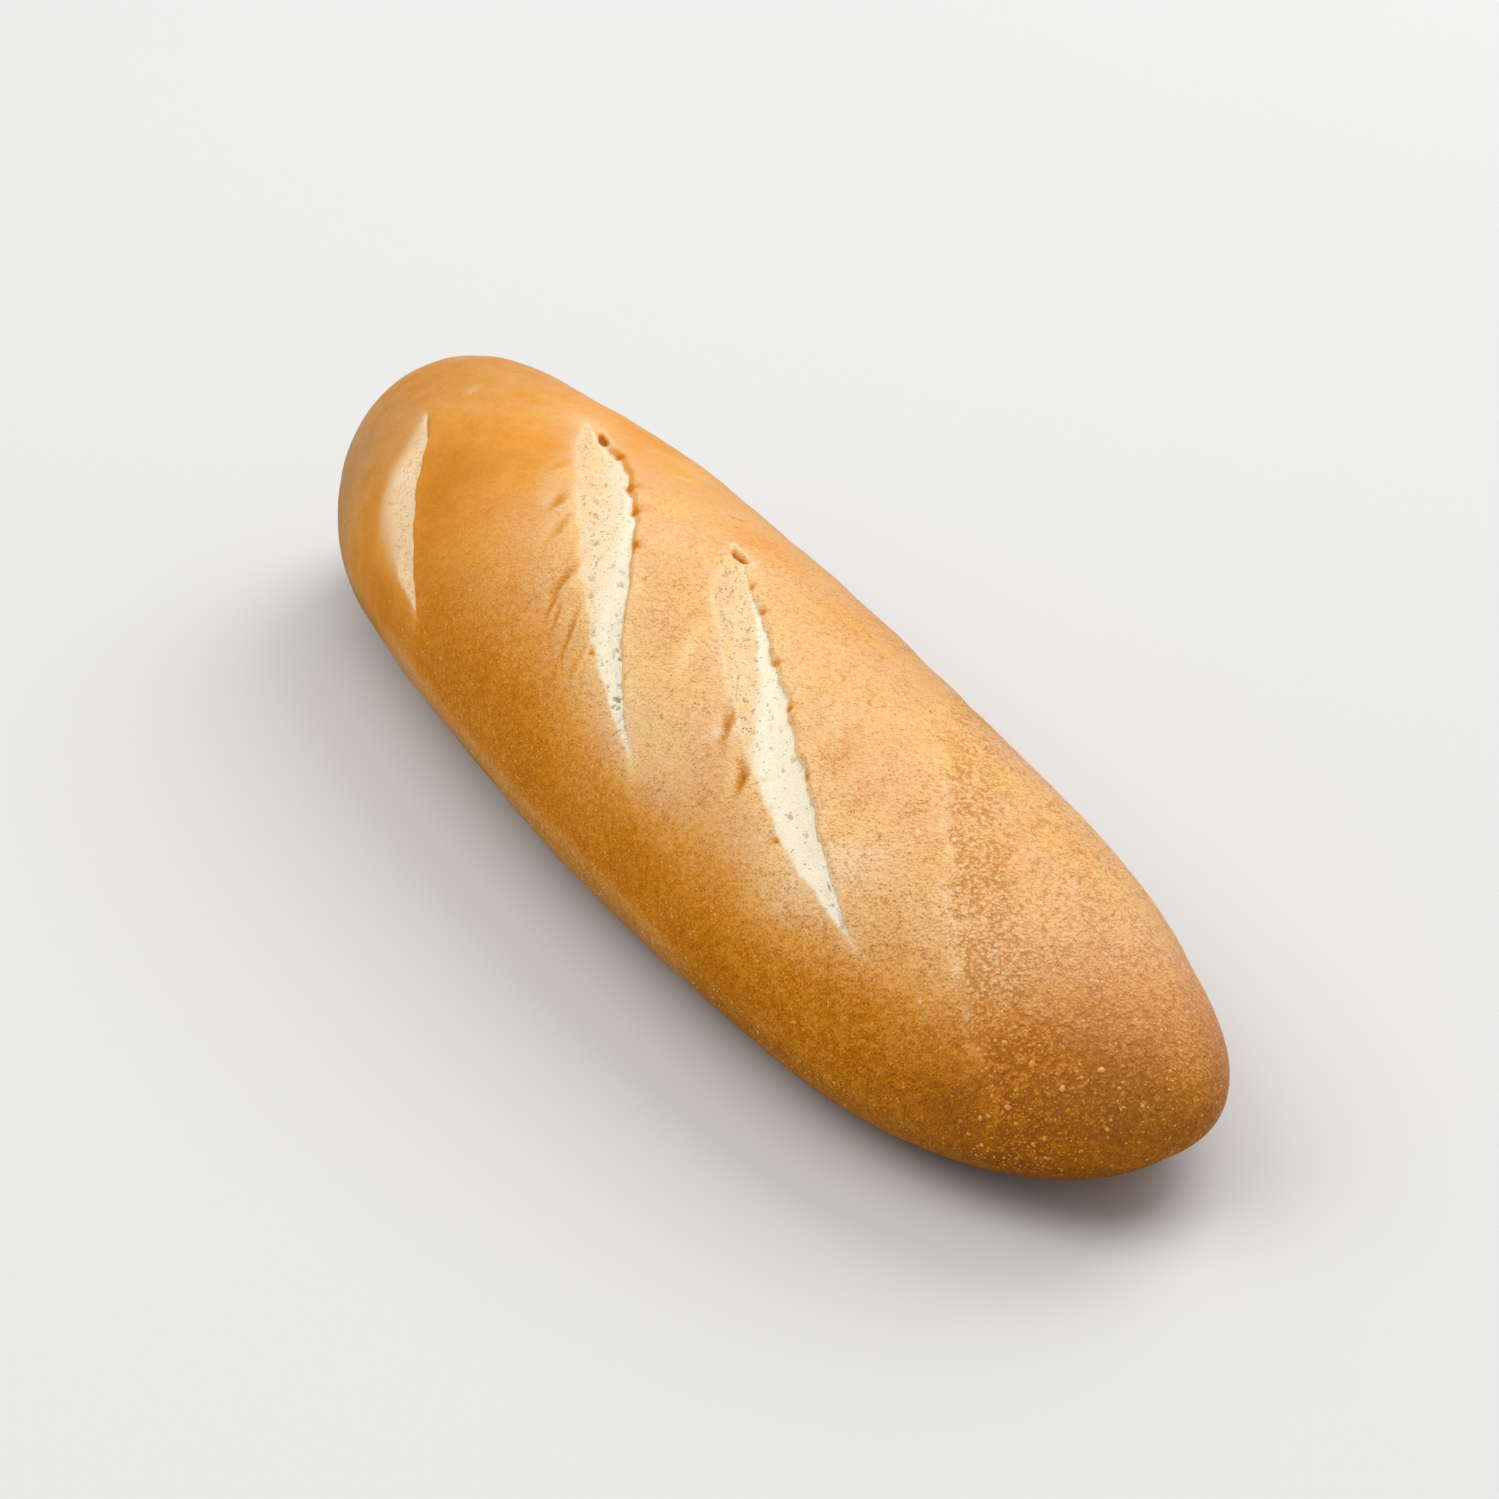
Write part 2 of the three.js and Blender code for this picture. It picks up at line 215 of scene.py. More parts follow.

# Paler and browner patches of the crust: place along and round, half length, half
# width, turn as above, and how much browner they are baked, or paler where below 0.
# One of them is a painted highlight on the lit top of the middle slash's lip.
PATCHES = (
    (28.0 * MM, 46.0, 15.0 * MM, 6.5 * MM, 20, -0.18),
    (68.0 * MM, 48.0, 9.0 * MM, 5.5 * MM, 20, -0.22),
    (24.0 * MM, 74.0, 10.0 * MM, 6.0 * MM, 0, -0.10),
    (72.0 * MM, 28.0, 7.0 * MM, 5.0 * MM, 0, -0.14),
    (60.0 * MM, 86.0, 12.0 * MM, 5.0 * MM, 0, 0.09),
    (94.0 * MM, 84.0, 9.0 * MM, 5.0 * MM, 0, 0.12),
    (102.0 * MM, 75.0, 4.5 * MM, 4.0 * MM, 0, 0.12),
    (111.5 * MM, 35.5, 4.0 * MM, 4.0 * MM, 0, 0.08),
    (80.0 * MM, 0.5, 5.0 * MM, 2.2 * MM, 55, -0.17),
    (24.0 * MM, -30.0, 15.0 * MM, 6.0 * MM, 0, 0.09),
    (-56.0 * MM, 84.0, 11.0 * MM, 7.0 * MM, 0, 0.15),
    (84.0 * MM, 5.0, 7.0 * MM, 5.0 * MM, 0, 0.10),
    (104.0 * MM, -30.0, 9.0 * MM, 6.0 * MM, 0, -0.08),
    (108.0 * MM, 82.0, 6.0 * MM, 6.0 * MM, 0, 0.13),
    (120.0 * MM, 22.0, 5.0 * MM, 4.0 * MM, 0, 0.13),
    (120.0 * MM, 75.0, 5.0 * MM, 5.0 * MM, 0, -0.10),
    (-56.0 * MM, -14.0, 10.0 * MM, 8.0 * MM, 0, -0.15),
    (-38.0 * MM, 14.0, 7.0 * MM, 2.4 * MM, 30, -0.14),
    (-12.0 * MM, -2.0, 9.0 * MM, 3.5 * MM, 30, -0.10),
    (-3.0 * MM, -25.0, 9.0 * MM, 7.0 * MM, 0, 0.20),
    (-60.0 * MM, 36.0, 13.0 * MM, 9.0 * MM, 30, 0.20),
    (78.0 * MM, -55.0, 24.0 * MM, 9.0 * MM, 0, -0.20),
    (19.8 * MM, 20.5, 5.2 * MM, 1.4 * MM, 47, -0.26),
    (46.6 * MM, 3.1, 3.4 * MM, 2.4 * MM, 40, -0.14),
    (38.8 * MM, 28.5, 2.6 * MM, 0.8 * MM, 115, -0.42),
    (40.0 * MM, 51.0, 9.0 * MM, 5.0 * MM, 45, -0.12),
    (33.0 * MM, 57.0, 5.0 * MM, 0.7 * MM, 38, -0.14),
    (-31.4 * MM, -22.4, 2.0 * MM, 0.6 * MM, -58, -0.22),
    # A painted highlight: the lit top of the middle slash's lip, drawn paler.
    (-1.5 * MM, 16.4, 4.0 * MM, 0.6 * MM, 11, -0.16),
    (-81.7 * MM, 9.6, 1.5 * MM, 1.1 * MM, 60, -0.28),
    (64.5 * MM, 16.6, 3.4 * MM, 1.6 * MM, 55, 0.16),
    (66.9 * MM, 29.3, 2.4 * MM, 1.2 * MM, 100, 0.20),
    (54.6 * MM, 9.5, 5.5 * MM, 1.8 * MM, 45, 0.14),
    (12.2 * MM, 10.5, 3.0 * MM, 1.6 * MM, 60, 0.12),
)

# A slanting band of coarser, blistered crust near the slim end. Its near border, as a
# place along the loaf at a number of degrees from the crown, runs
# BAND_PLACE + BAND_SLOPE * degrees + BAND_BEND * degrees cubed. A pale scar follows it.
BAND_PLACE = 72.4 * MM
BAND_SLOPE = 0.78 * MM
BAND_BEND = -4.4e-5 * MM
BAND_SIDES = 80
BAND_WIDTH = 8 * MM
BAND_NEAR_BORDER = (-1.5 * MM, 1.5 * MM)
BAND_FAR_BORDER = (BAND_WIDTH + 2 * MM, BAND_WIDTH - 3 * MM)
BAND_RAGGEDNESS = 0.8 * MM
PEBBLES_BEYOND_BAND = 0.5
SCAR_DEPTH = 0.2 * MM
SCAR_HALF_WIDTH = 0.9 * MM
SCAR_STRENGTH = {"middle": 0.75, "change": 0.7, "least": 0.15, "most": 1.4}

# The largest blisters of the crust: place along and round, and radius.
LARGE_BLISTERS = (
    (74.4 * MM, 4.8, 0.85 * MM),
    (69.4 * MM, -2.6, 0.50 * MM),
    (78.8 * MM, -2.3, 0.60 * MM),
    (79.3 * MM, 17.7, 0.45 * MM),
    (97.6 * MM, 41.5, 0.42 * MM),
    (98.5 * MM, 38.9, 0.38 * MM),
    (108.3 * MM, -8.7, 0.38 * MM),
    (109.2 * MM, 33.3, 0.40 * MM),
    (113.2 * MM, 33.0, 0.58 * MM),
    (118.7 * MM, 13.0, 0.55 * MM),
    (118.1 * MM, 33.9, 0.50 * MM),
    (114.4 * MM, 59.6, 0.55 * MM),
    (112.5 * MM, 72.6, 0.45 * MM),
    (113.6 * MM, 69.8, 0.40 * MM),
    (119.8 * MM, 71.2, 0.40 * MM),
    (111.7 * MM, 86.4, 0.42 * MM),
    (113.3 * MM, 93.6, 0.36 * MM),
)

# Broad places where the loaf stands out or sinks in: the middle of each as distance
# along and degrees, its rise, and how far it reaches along and round.
BULGES = (
    (-86 * MM, -40, -2.2 * MM, 16 * MM, 38),
    (-40 * MM, -45, 1.2 * MM, 18 * MM, 38),
    (106 * MM, -68, -1.0 * MM, 9 * MM, 30),
    (-22 * MM, 122, -0.7 * MM, 22 * MM, 22),
)
# Bulges are full up to the first of these angles from the crown, and gone at the second.
BULGE_FULL_ANGLE = 120
BULGE_END_ANGLE = 150

# Slow unevenness: rise, wave length along, how many waves run round the section, and
# shift.
SWELLS = (
    (0.35 * MM, 118 * MM, 1, 0.7),
    (0.25 * MM, 71 * MM, 2, 2.1),
    (0.15 * MM, 43 * MM, 3, 4.0),
)
# This unevenness and the slashes, tucks, splits and creases are full up to the first of
# these angles from the crown, and gone at the second.
RELIEF_FULL_ANGLE = 80
RELIEF_END_ANGLE = 125

# Fine relief: the rise of its lumps in metres, that of its grains and what pebbled crust
# adds to it in millimetres, and the angles from the crown between which it comes in.
LUMP_RISE = 0.14 * MM
GRAIN_MILLIMETRES = 0.03
PEBBLE_MILLIMETRES = 0.03
LUMPS_ROUND = (175, 120)

# Soft noises over the skin: how large their lumps are, and a shift that sets each apart.
NOISE_GAIN = 1.6
RAGGED_BORDER = (4 * MM, 6.6)
BROKEN_SCAR = (2.4 * MM, 9.2)
LUMPS = (7 * MM, 3.1)
GRAINS = (1.2 * MM, 8.4)
LARGE_PORES = (1.4 * MM, 5.7)
SMALL_PORES = (0.8 * MM, 1.9)

# A pore is open between these values of its noise, or lower ones where crumb is holed.
PORE_BORDER = (0.86, 1.10)
PORES_WHERE_HOLED = 0.22

# The base bellies down from nothing to its full drop: between these shares of its half
# width from its middle, and between these distances along the loaf from this place.
BELLY_SHARES = (0.95, 0.3)
BELLY_PLACE = -5 * MM
BELLY_REACH = (78 * MM, 45 * MM)

# Grid of the crust, and how closely its columns crowd: everywhere, and what is added on
# the upper half, on top, in a slash and at its lip.
END_ROWS = 72
BODY_ROWS = 296
SKIN_COLUMNS = 208
BASE_COLUMNS = 16
FINE_ANGLES = 2881
CROWDING = {"all": 0.17, "sides": 0.33, "top": 0.45, "slash": 1.1, "lip": 3.2}
CROWDED_SIDES = (95, 85)
CROWDED_BACK = (-45, -25)
CROWDED_FRONT = (95, 80)
CROWDED_EDGE = (1.5 * MM, 0)
CROWDED_LIP = 0.9 * MM
CROWDED_WIDTH = 2 * MM

# ---------------------------------------------------------------- finish of the crust
# Stretches along the loaf over which a finish comes in, from where it is 0 to where it
# is full, in metres from the middle.
SLIM_TIP = (94 * MM, 124 * MM)
# The next two stretches are where the rosy painted sheen comes in at the slim end.
SLIM_END_SHEEN = (86 * MM, 108 * MM)
SLIM_TOP_SHEEN = (126 * MM, 112 * MM)
SLIM_SIDE = (70 * MM, 86 * MM)
SLIM_GRAIN = (50 * MM, 80 * MM)
SLIM_BACK = (50 * MM, 85 * MM)
MIDDLE = (66 * MM, 44 * MM)
BROAD_SIDE = (14 * MM, -8 * MM)
TOWARDS_BROAD = (-10 * MM, -58 * MM)
BROAD_TOP = (-50 * MM, -80 * MM)
BROAD_DULL = (-60 * MM, -100 * MM)
BROAD_SKIN = (-66 * MM, -98 * MM)

# The same round the loaf, in degrees from the crown.
UPPER_FRONT = (80, 30)
UPPER_BACK = (-125, -95)
LOW_FRONT = (35, 85)
LOW_BACK = (-5, -105)
# The back's upper edge, where a sheen is painted paler and duller and the coat is glossier.
PAINTED_SHEEN_PALE_BACK = (-20, -45)
GLOSSY_BACK = (-20, -50)
PAINTED_SHEEN_DULL_BACK = (-26, -50)
# Low on the front near the base, where painted shade dulls the crust.
PAINTED_SHADE_LOW_FRONT = (84, 108)
DULL_BROAD_FRONT = (20, 75)
DULL_TIP = (70, 20)
# Where the rosy painted sheen comes in on the slim end's top.
SHEEN_TOP = (40, 0)
TIP_TOP = (-40, 18)
SCAR_TOP = (-20, 5)
SCAR_FRONT = (110, 80)

# And on both sides alike: the pale fringe under the widest line, the underside, and
# where the blisters end.
FRINGE_START = (84, 96)
FRINGE_END = (134, 116)
UNDERSIDE = (125, 160)
BLISTERS_END = (125, 105)

# The browned side starts and is full at these degrees. It reaches higher towards the
# slim end and on the broad half, and its full brown by this share of that lift.
SIDE_START = 30
SIDE_FULL = 82
SLIM_LIFT = 12
BROAD_LIFT = 10
FULL_LIFT_SHARE = 0.75

# How brown the crust is baked at each place, where 0 is the palest gold and 1 the
# deepest brown; the fringe is paler by its own, and the back's upper edge by a painted
# sheen. Then what else browns it, or pales it where below 0. The creases add painted
# shade in their valleys and painted light on their ridges, and the tucks and splits are
# stained brown and painted darker as shade in their dents.
BAKED = {
    "top": 0.13, "top_towards_broad": 0.34, "broad_top": -0.12,
    "side": 0.76, "side_towards_broad": -0.20, "broad_side": -0.33,
    "tip": 0.52, "tip_lost_low": 0.35, "tip_sides": 0.54, "tip_top": 0.46,
    "fringe": 0.08, "middle_fringe": 0.27, "underside": 0.12, "painted_back_sheen": 0.08,
}
BROWNED = {
    "halo": -0.36, "split_rim": -0.34, "painted_crease_shading": 0.34, "patches": 1, "band": 0.02, "scar": -0.24,
    "rim": 1, "tuck": 0.75, "split": 1.5,
}
TORN_BY_TUCK = 0.8

# How strong the grain is; how much the skin is dulled, which holds painted shade low on
# the front and in the creases and the duller half of a painted sheen on the back's upper
# edge; how glossy it is and how strong its rosy painted sheen; how thick the blisters
# stand and how much larger they are, place by place.
GRAINED = {"far": 0.26, "near": 0.74, "slim": 0.25}
# Of the dulling, the front is painted shade near the base, and the back the duller half of a painted sheen on
# the back's upper edge.
DULLING_AND_PAINTED_LIGHT = {
    "broad": 0.50, "front": 0.55, "broad_front": 0.34, "tip": 0.46, "back": 0.38, "back_lost_slim": 0.4,
    "painted_crease_shading": 0.22,
}
GLOSSED = {"upper": 0.07, "pebbles": -0.06, "back": 0.12}
# How strong the rosy painted sheen is: a light veil over the upper crust, stronger at the slim end.
PAINTED_SHEEN_STRENGTH = {"upper": 0.03, "slim_end": 0.018, "slim_top": 0.08}
BLISTERED = {
    "all": 0.015, "near": 0.045, "near_low": 0.13, "pebbles": 0.10, "pebbles_low": 0.14,
    "band": 0.06, "band_low": 0.20, "scar": 0.25,
}
SWOLLEN = {"scar": 0.25, "band": 0.15}

# The grain is strongest at the front of the slim end. How far off a place is counts from
# the loaf's middle, by these shares of its way to the broad end and to the back, and the
# grain comes in between the two distances.
FAR_ALONG = 0.87
FAR_ACROSS = 0.49
NEAR = (42 * MM, -8 * MM)

# Each value on the base, at the broad tip and at the slim tip, where it isn't 0. The
# skin's own value blends into the tip's as the section closes, between these shares of
# its full width.
BASE_AND_TIPS = {
    "bake": (0.9, 0.3, 0.85),
    "grain": (0.6, 0.26, 1.2),
    "dull": (0.4, 0.5, 0.38),
    "bloom": (0.02, 0.03, 0.02),
    "cobble": (0, 0, 0.5),
    "gloss": (0, 0.05, 0),
    "blister": (0, 0, 0.14),
    "swelling": (1, 1, 1),
}
TIP_BLEND = (0, 0.45)

# ---------------------------------------------------------------- blister sizes
# The dome of unit radius: its sides, the radius and height of its rings, and its top.
DOME_SIDES = 7
DOME_RINGS = ((1.0, -0.25), (0.76, 0.20))
DOME_TOP = 0.36

BLISTER_INPUTS = (
    ("Blisters per square metre", "NodeSocketFloat", 2.3e6),
    ("Smallest radius", "NodeSocketFloat", 0.12 * MM),
    ("Largest radius", "NodeSocketFloat", 0.28 * MM),
    ("Seed", "NodeSocketInt", 11),
)
SIZE_SEED = 3
SIZE_RARITY = 3
STRETCH_SEED = 7
LEAST_STRETCH = (0.65, 0.65, 0.5)
MOST_STRETCH = (1.4, 1.4, 1.1)
LARGE_STRETCHES = (Vector((0.85, 1.2, 0.75)), Vector((1.15, 0.85, 0.85)))
LARGE_BLISTER_BAKE = 0.7

# ---------------------------------------------------------------- camera and studio
CAMERA_PLACE = Vector((302.1 * MM, -168 * MM, 227.8 * MM))
CAMERA_AZIMUTH = 59.406
CAMERA_TILT = 32
CAMERA_ROLL = 0.6
FOCAL_SHARE = 2300 / 1499
SENSOR_WIDTH = 36
NEAREST_SEEN = 0.01

# Softboxes: degrees round from +X towards +Y, degrees up, and watts.
SOFTBOXES = {
    "back_softbox": (108, 44, 54),
    "top_softbox": (0, 88, 24),
    "front_softbox": (240, 50, 35),
    "right_softbox": (60, 25, 8),
}
SOFTBOX_DISTANCE = 3
SOFTBOX_SIZE = 2
SKY_STRENGTH = 0.36
FLOOR_HALF_WIDTH = 3.0
FLOOR_COLOUR = (0.66, 0.66, 0.65, 1)


# ---------------------------------------------------------------- helpers
def smooth(share):
    return share * share * (3 - 2 * share)


def ramp(value, start, end):
    """0 up to the start and 1 past the end, smoothly, whichever of the two is larger."""
    return smooth(np.clip((value - start) / (end - start), 0, 1))


def bump_curve(value, half_width):
    return np.exp(-((value / half_width) ** 2))


def through_three(values, share):
    """Parabola through three values at the shares 0, 1/2 and 1."""
    first, middle, last = values
    at_first = (1 - share) * (1 - 2 * share)
    at_last = share * (2 * share - 1)
    return first * at_first + middle * 4 * share * (1 - share) + last * at_last


def through_quarters(quarters, share):
    """Smooth curve that is 0 at both ends and takes three values at the quarter points."""
    knots = np.array([0, *quarters, 0], dtype=float)
    last = len(knots) - 1
    index = np.clip(np.floor(share * last).astype(int), 0, last - 1)
    part = share * last - index
    before = knots[np.maximum(index - 1, 0)]
    here = knots[index]
    following = knots[index + 1]
    after = knots[np.minimum(index + 2, last)]
    linear = (following - before) / 2
    square = before - 2.5 * here + 2 * following - after / 2
    cube = (after - before) / 2 + 1.5 * (here - following)
    return here + part * (linear + part * (square + part * cube))


def noise_at(points, grain, shift):
    """Soft noise from about -1 to 1 whose lumps are about a grain across."""
    offset = Vector((shift, -shift, 2 * shift))
    flat = points.reshape(-1, 3) / grain
    values = [noise.noise(Vector(point) + offset) for point in flat.tolist()]
    return np.array(values).reshape(points.shape[:-1]) * NOISE_GAIN


# ---------------------------------------------------------------- body
def end_outline(end, distance):
    into = np.clip(1 - distance / end["reach"], 0, 1)
    return np.maximum(1 - into ** end["swell"], 0) ** (1 / end["blunt"])


class Sections:
    """The loaf's section at each distance along it, each value as a column.

    The room is its width as a share of the loaf's: relief shrinks with it to the tips.
    """

    def __init__(self, along):
        self.along = along.reshape(-1, 1)
        share = self.along / LOAF_LENGTH + 0.5
        broad = end_outline(BROAD_END, self.along + LOAF_LENGTH / 2)
        slim = end_outline(SLIM_END, LOAF_LENGTH / 2 - self.along)
        from_middle = 2 * share - 1
        self.half_width = through_three(BODY_WIDTH, share) / 2 * broad * slim
        height_outline = broad ** BROAD_END["height_power"] * slim ** SLIM_END["height_power"]
        self.height = through_three(BODY_HEIGHT, share) * height_outline
        self.flat = FLAT_SHARE * broad * slim
        self.side = SIDE_BOW * (1 - from_middle ** 2) + END_HOOK * from_middle ** 3
        self.lift = REST_DROP + BROAD_END["tip_rise"] * (1 - broad) + SLIM_END["tip_rise"] * (1 - slim)
        self.per_degree = DEGREE * (self.half_width + self.height * (1 - WIDEST_SHARE)) / 2
        self.room = np.minimum(1, 2 * self.half_width / BODY_WIDTH[1])


def rows_along():
    """Distances along the loaf, closer together towards the tips, without the tips."""
    half = LOAF_LENGTH / 2
    closing = 1 - np.cos(np.arange(1, END_ROWS + 1) / END_ROWS * math.pi / 2)
    broad = BROAD_END["reach"] * closing - half
    slim = half - SLIM_END["reach"] * closing[::-1]
    body = np.linspace(broad[-1], slim[0], BODY_ROWS + 1)[1:-1]
    return np.concatenate([broad, body, slim])


# ---------------------------------------------------------------- slashes
def edge_waver(along, seed):
    """A slash's edge is never quite straight; this is in degrees."""
    total = 0
    for degrees, first_length, first_shift, second_length, second_shift in WAVERS:
        first = np.sin(along / first_length + first_shift * seed)
        second = np.sin(along / second_length + second_shift * seed)
        total = total + degrees * first * second
    return total


class Slash:
    """One slash seen from every point of the skin."""

    def __init__(self, number, sections):
        slash = SLASHES[number]
        start_along, start_angle = slash["start"]
        end_along, end_angle = slash["end"]
        self.share = (sections.along - start_along) / (end_along - start_along)
        inside = np.clip(self.share, 0, 1)
        line = start_angle + (end_angle - start_angle) * inside
        open_front = through_quarters(slash["front"], inside)
        open_back = through_quarters(slash["back"], inside)
        waver = np.minimum(1, (open_front + open_back) / WAVER_FULL_OPENING)
        self.front = line + open_front + waver * edge_waver(sections.along, number + FRONT_EDGE_SEED)
        self.back = line - open_back - waver * edge_waver(sections.along, number + BACK_EDGE_SEED)
        self.width = (self.front - self.back) * sections.per_degree
        self.per_degree = sections.per_degree
        self.open_share = np.minimum(1, self.width / SLASH_FULL_WIDTH)
        self.live = (self.share > 0) & (self.share < 1)

    def past_front(self, angle):
        """Metres in front of the front edge."""
        return (angle - self.front) * self.per_degree

    def past_back(self, angle):
        """Metres behind the back edge."""
        return (self.back - angle) * self.per_degree

    def across(self, angle):
        """Share of the way over from the front edge to the back edge."""
        return np.clip((self.front - angle) / np.maximum(self.front - self.back, LEAST_OPENING), 0, 1)

    def relief(self, angle):
        behind = self.past_back(angle)
        hollow = -SLASH_DEPTH * smooth(np.minimum(1, self.across(angle) / SLOPE_SHARE))
        up_lip = np.clip(behind / LIP_WIDTH, 0, 1)
        lip = LIP_RISE * up_lip - SLASH_DEPTH * (1 - up_lip)
        crest = LIP_RISE * np.exp(np.minimum(0, LIP_WIDTH - behind) / LIP_FADE)
        shape = np.where(behind > LIP_WIDTH, crest, np.where(behind > 0, lip, hollow))
        shape = np.where(angle > self.front, 0, shape)
        return np.where(self.live, shape * self.open_share, 0)


def ring_angles(sections, slashes):
    """Angles round each section, closer together on top, in the slashes and at lips."""
    fine = np.linspace(-180, 180, FINE_ANGLES)
    crowd = np.full((1, fine.size), CROWDING["all"])
    crowd = crowd + CROWDING["sides"] * ramp(np.abs(fine), *CROWDED_SIDES)
    crowd = crowd + CROWDING["top"] * ramp(fine, *CROWDED_BACK) * ramp(fine, *CROWDED_FRONT)
    crowd = np.repeat(crowd, len(sections.along), axis=0)
    for slash in slashes:
        taper = np.where(slash.live, np.minimum(1, slash.width / CROWDED_WIDTH), 0)
        behind = slash.past_back(fine)
        inside = ramp(behind, *CROWDED_EDGE) * ramp(slash.past_front(fine), *CROWDED_EDGE)
        lip = bump_curve(behind - LIP_WIDTH / 2, CROWDED_LIP)
        crowd = crowd + taper * (CROWDING["slash"] * inside + CROWDING["lip"] * lip)
    total = np.cumsum(crowd, axis=1)
    total = (total - total[:, :1]) / (total[:, -1:] - total[:, :1])
    wanted = np.linspace(0, 1, SKIN_COLUMNS)
    return np.stack([np.interp(wanted, row, fine) for row in total])


# ---------------------------------------------------------------- skin
def swell_relief(sections, angle):
    total = 0
    for rise, wave_length, waves_round, shift in SWELLS:
        along_wave = np.sin(2 * math.pi * sections.along / wave_length + shift)
        total = total + rise * along_wave * np.cos(waves_round * angle * DEGREE + shift)
    return total


def bulge_relief(sections, angle):
    total = 0
    for along, middle, rise, reach_along, reach_round in BULGES:
        across = bump_curve(angle - middle, reach_round)
        total = total + rise * bump_curve(sections.along - along, reach_along) * across
    return total


def tuck_fields(sections, slashes, angle):
    """Relief of the tucks along the slashes' edges, and how brown they are drawn, with painted shade deepest
    in each dent.
    """
    relief = np.zeros_like(angle)
    stain = np.zeros_like(angle)
    for number, edge, share, length, half_width, depth in TUCKS:
        slash = slashes[number]
        start_along = SLASHES[number]["start"][0]
        end_along = SLASHES[number]["end"][0]
        along = start_along + share * (end_along - start_along)
        outward = slash.past_back(angle) if edge == "back" else slash.past_front(angle)
        sway = TUCK["sway"] * np.sin(outward / TUCK["sway_length"] + TUCK["sway_shift"] * share)
        beside = (sections.along - along + TUCK_LEAN[edge] * outward + sway) / half_width
        reach = ramp(outward, *TUCK["mouth"]) * ramp(outward, length, TUCK["tip"])
        narrowing = TUCK["mouth_narrowing"] + TUCK["narrowing"] * np.clip(outward / length, 0, 1)
        dent = bump_curve(beside * narrowing, 1) * reach
        relief -= depth * dent
        core = TUCK["core_stain_and_shade"] * ramp(dent, *TUCK["core"])
        stain = np.maximum(stain, TUCK["stain"] * dent ** TUCK["stain_power"] + core)
    return relief, stain


def spot_offset(sections, angle, place_along, place_round, turn):
    """Distances lengthwise and sideways from a place, turned from +X to the front."""
    along = sections.along - place_along
    across = (angle - place_round) * sections.per_degree
    lengthwise = along * math.cos(turn * DEGREE) + across * math.sin(turn * DEGREE)
    sideways = across * math.cos(turn * DEGREE) - along * math.sin(turn * DEGREE)
    return lengthwise, sideways


def split_fields(sections, angle):
    """Relief of the narrow holes, how brown they are drawn with painted shade inside them, and the cream rim
    round them.
    """
    relief = np.zeros_like(angle)
    stain = np.zeros_like(angle)
    rim = np.zeros_like(angle)
    for along, degrees_round, half_length, half_width, turn, depth in SPLITS:
        lengthwise, sideways = spot_offset(sections, angle, along, degrees_round, turn)
        bend = SPLIT["bend"] * lengthwise ** 2 / half_length
        distance = np.hypot(lengthwise / half_length, (sideways + bend) / half_width)
        deep = ramp(depth, 0, SPLIT["full_depth"])
        hole = ramp(distance, *SPLIT["hole"])
        behind = ramp(sideways, SPLIT["behind"] * half_width, -SPLIT["behind"] * half_width)
        edge = behind * bump_curve(distance - SPLIT["rim_place"], SPLIT["rim_width"])
        relief += SPLIT["rim_rise"] * edge * deep - depth * hole
        stain = np.maximum(stain, hole * deep)
        rim = np.maximum(rim, edge * deep)
    return relief, stain, rim


def crease_fields(sections, angle):
    """Relief of the creases in front of the slashes, and their painted shading: shade in the valleys, light
    on the ridges.
    """
    relief = np.zeros_like(angle)
    shade = np.zeros_like(angle)
    for along, degrees_round, half_length, half_width, turn, depth, dark in CREASES:
        lengthwise, sideways = spot_offset(sections, angle, along, degrees_round, turn)
        bend = CREASE["bend"] * lengthwise ** 2 / half_length
        sway = CREASE["sway"] * np.cos(lengthwise / CREASE["sway_length"]) + bend
        off_line = sideways + sway
        narrowing = 1 + CREASE["narrowing"] * np.clip(lengthwise / half_length, -1, 1)
        fade = bump_curve(lengthwise, half_length)
        valley = bump_curve(off_line * narrowing, half_width) * fade
        ridge = bump_curve(np.abs(off_line) - CREASE["ridge_place"] * half_width, half_width) * fade
        relief += depth * (CREASE["ridge_rise"] * ridge - valley)
        shade += dark * (valley - CREASE["ridge_painted_light"] * ridge)
    return relief, shade


def patch_field(sections, angle):
    """How much browner, or paler where below 0, the patches are baked."""
    total = np.zeros_like(angle)
    for along, degrees_round, half_length, half_width, turn, shift in PATCHES:
        lengthwise, sideways = spot_offset(sections, angle, along, degrees_round, turn)
        total += shift * bump_curve(lengthwise, half_length) * bump_curve(sideways, half_width)
    return total


def band_distance(sections, angle):
    """Metres beyond the near border of the band, towards the slim tip."""
    lean = np.clip(angle, -BAND_SIDES, BAND_SIDES)
    border = BAND_PLACE + BAND_SLOPE * lean + BAND_BEND * lean ** 3
    slant = (BAND_SLOPE + 3 * BAND_BEND * lean ** 2) / sections.per_degree
    return (sections.along - border) / np.hypot(1, slant)


def skin_points(sections, angle, relief):
    across = np.sin(angle * DEGREE)
    up = np.cos(angle * DEGREE)
    above = up >= 0
    under_reach = np.sign(angle) * (sections.flat + (1 - sections.flat) * np.abs(across))
    reach = np.where(above, across, under_reach)
    rise = np.where(above, WIDEST_SHARE + (1 - WIDEST_SHARE) * up, WIDEST_SHARE * (1 + up))
    return np.stack([
        np.broadcast_to(sections.along, angle.shape),
        sections.side - sections.half_width * reach - relief * across,
        sections.lift + sections.height * rise + relief * up,
    ], axis=-1)


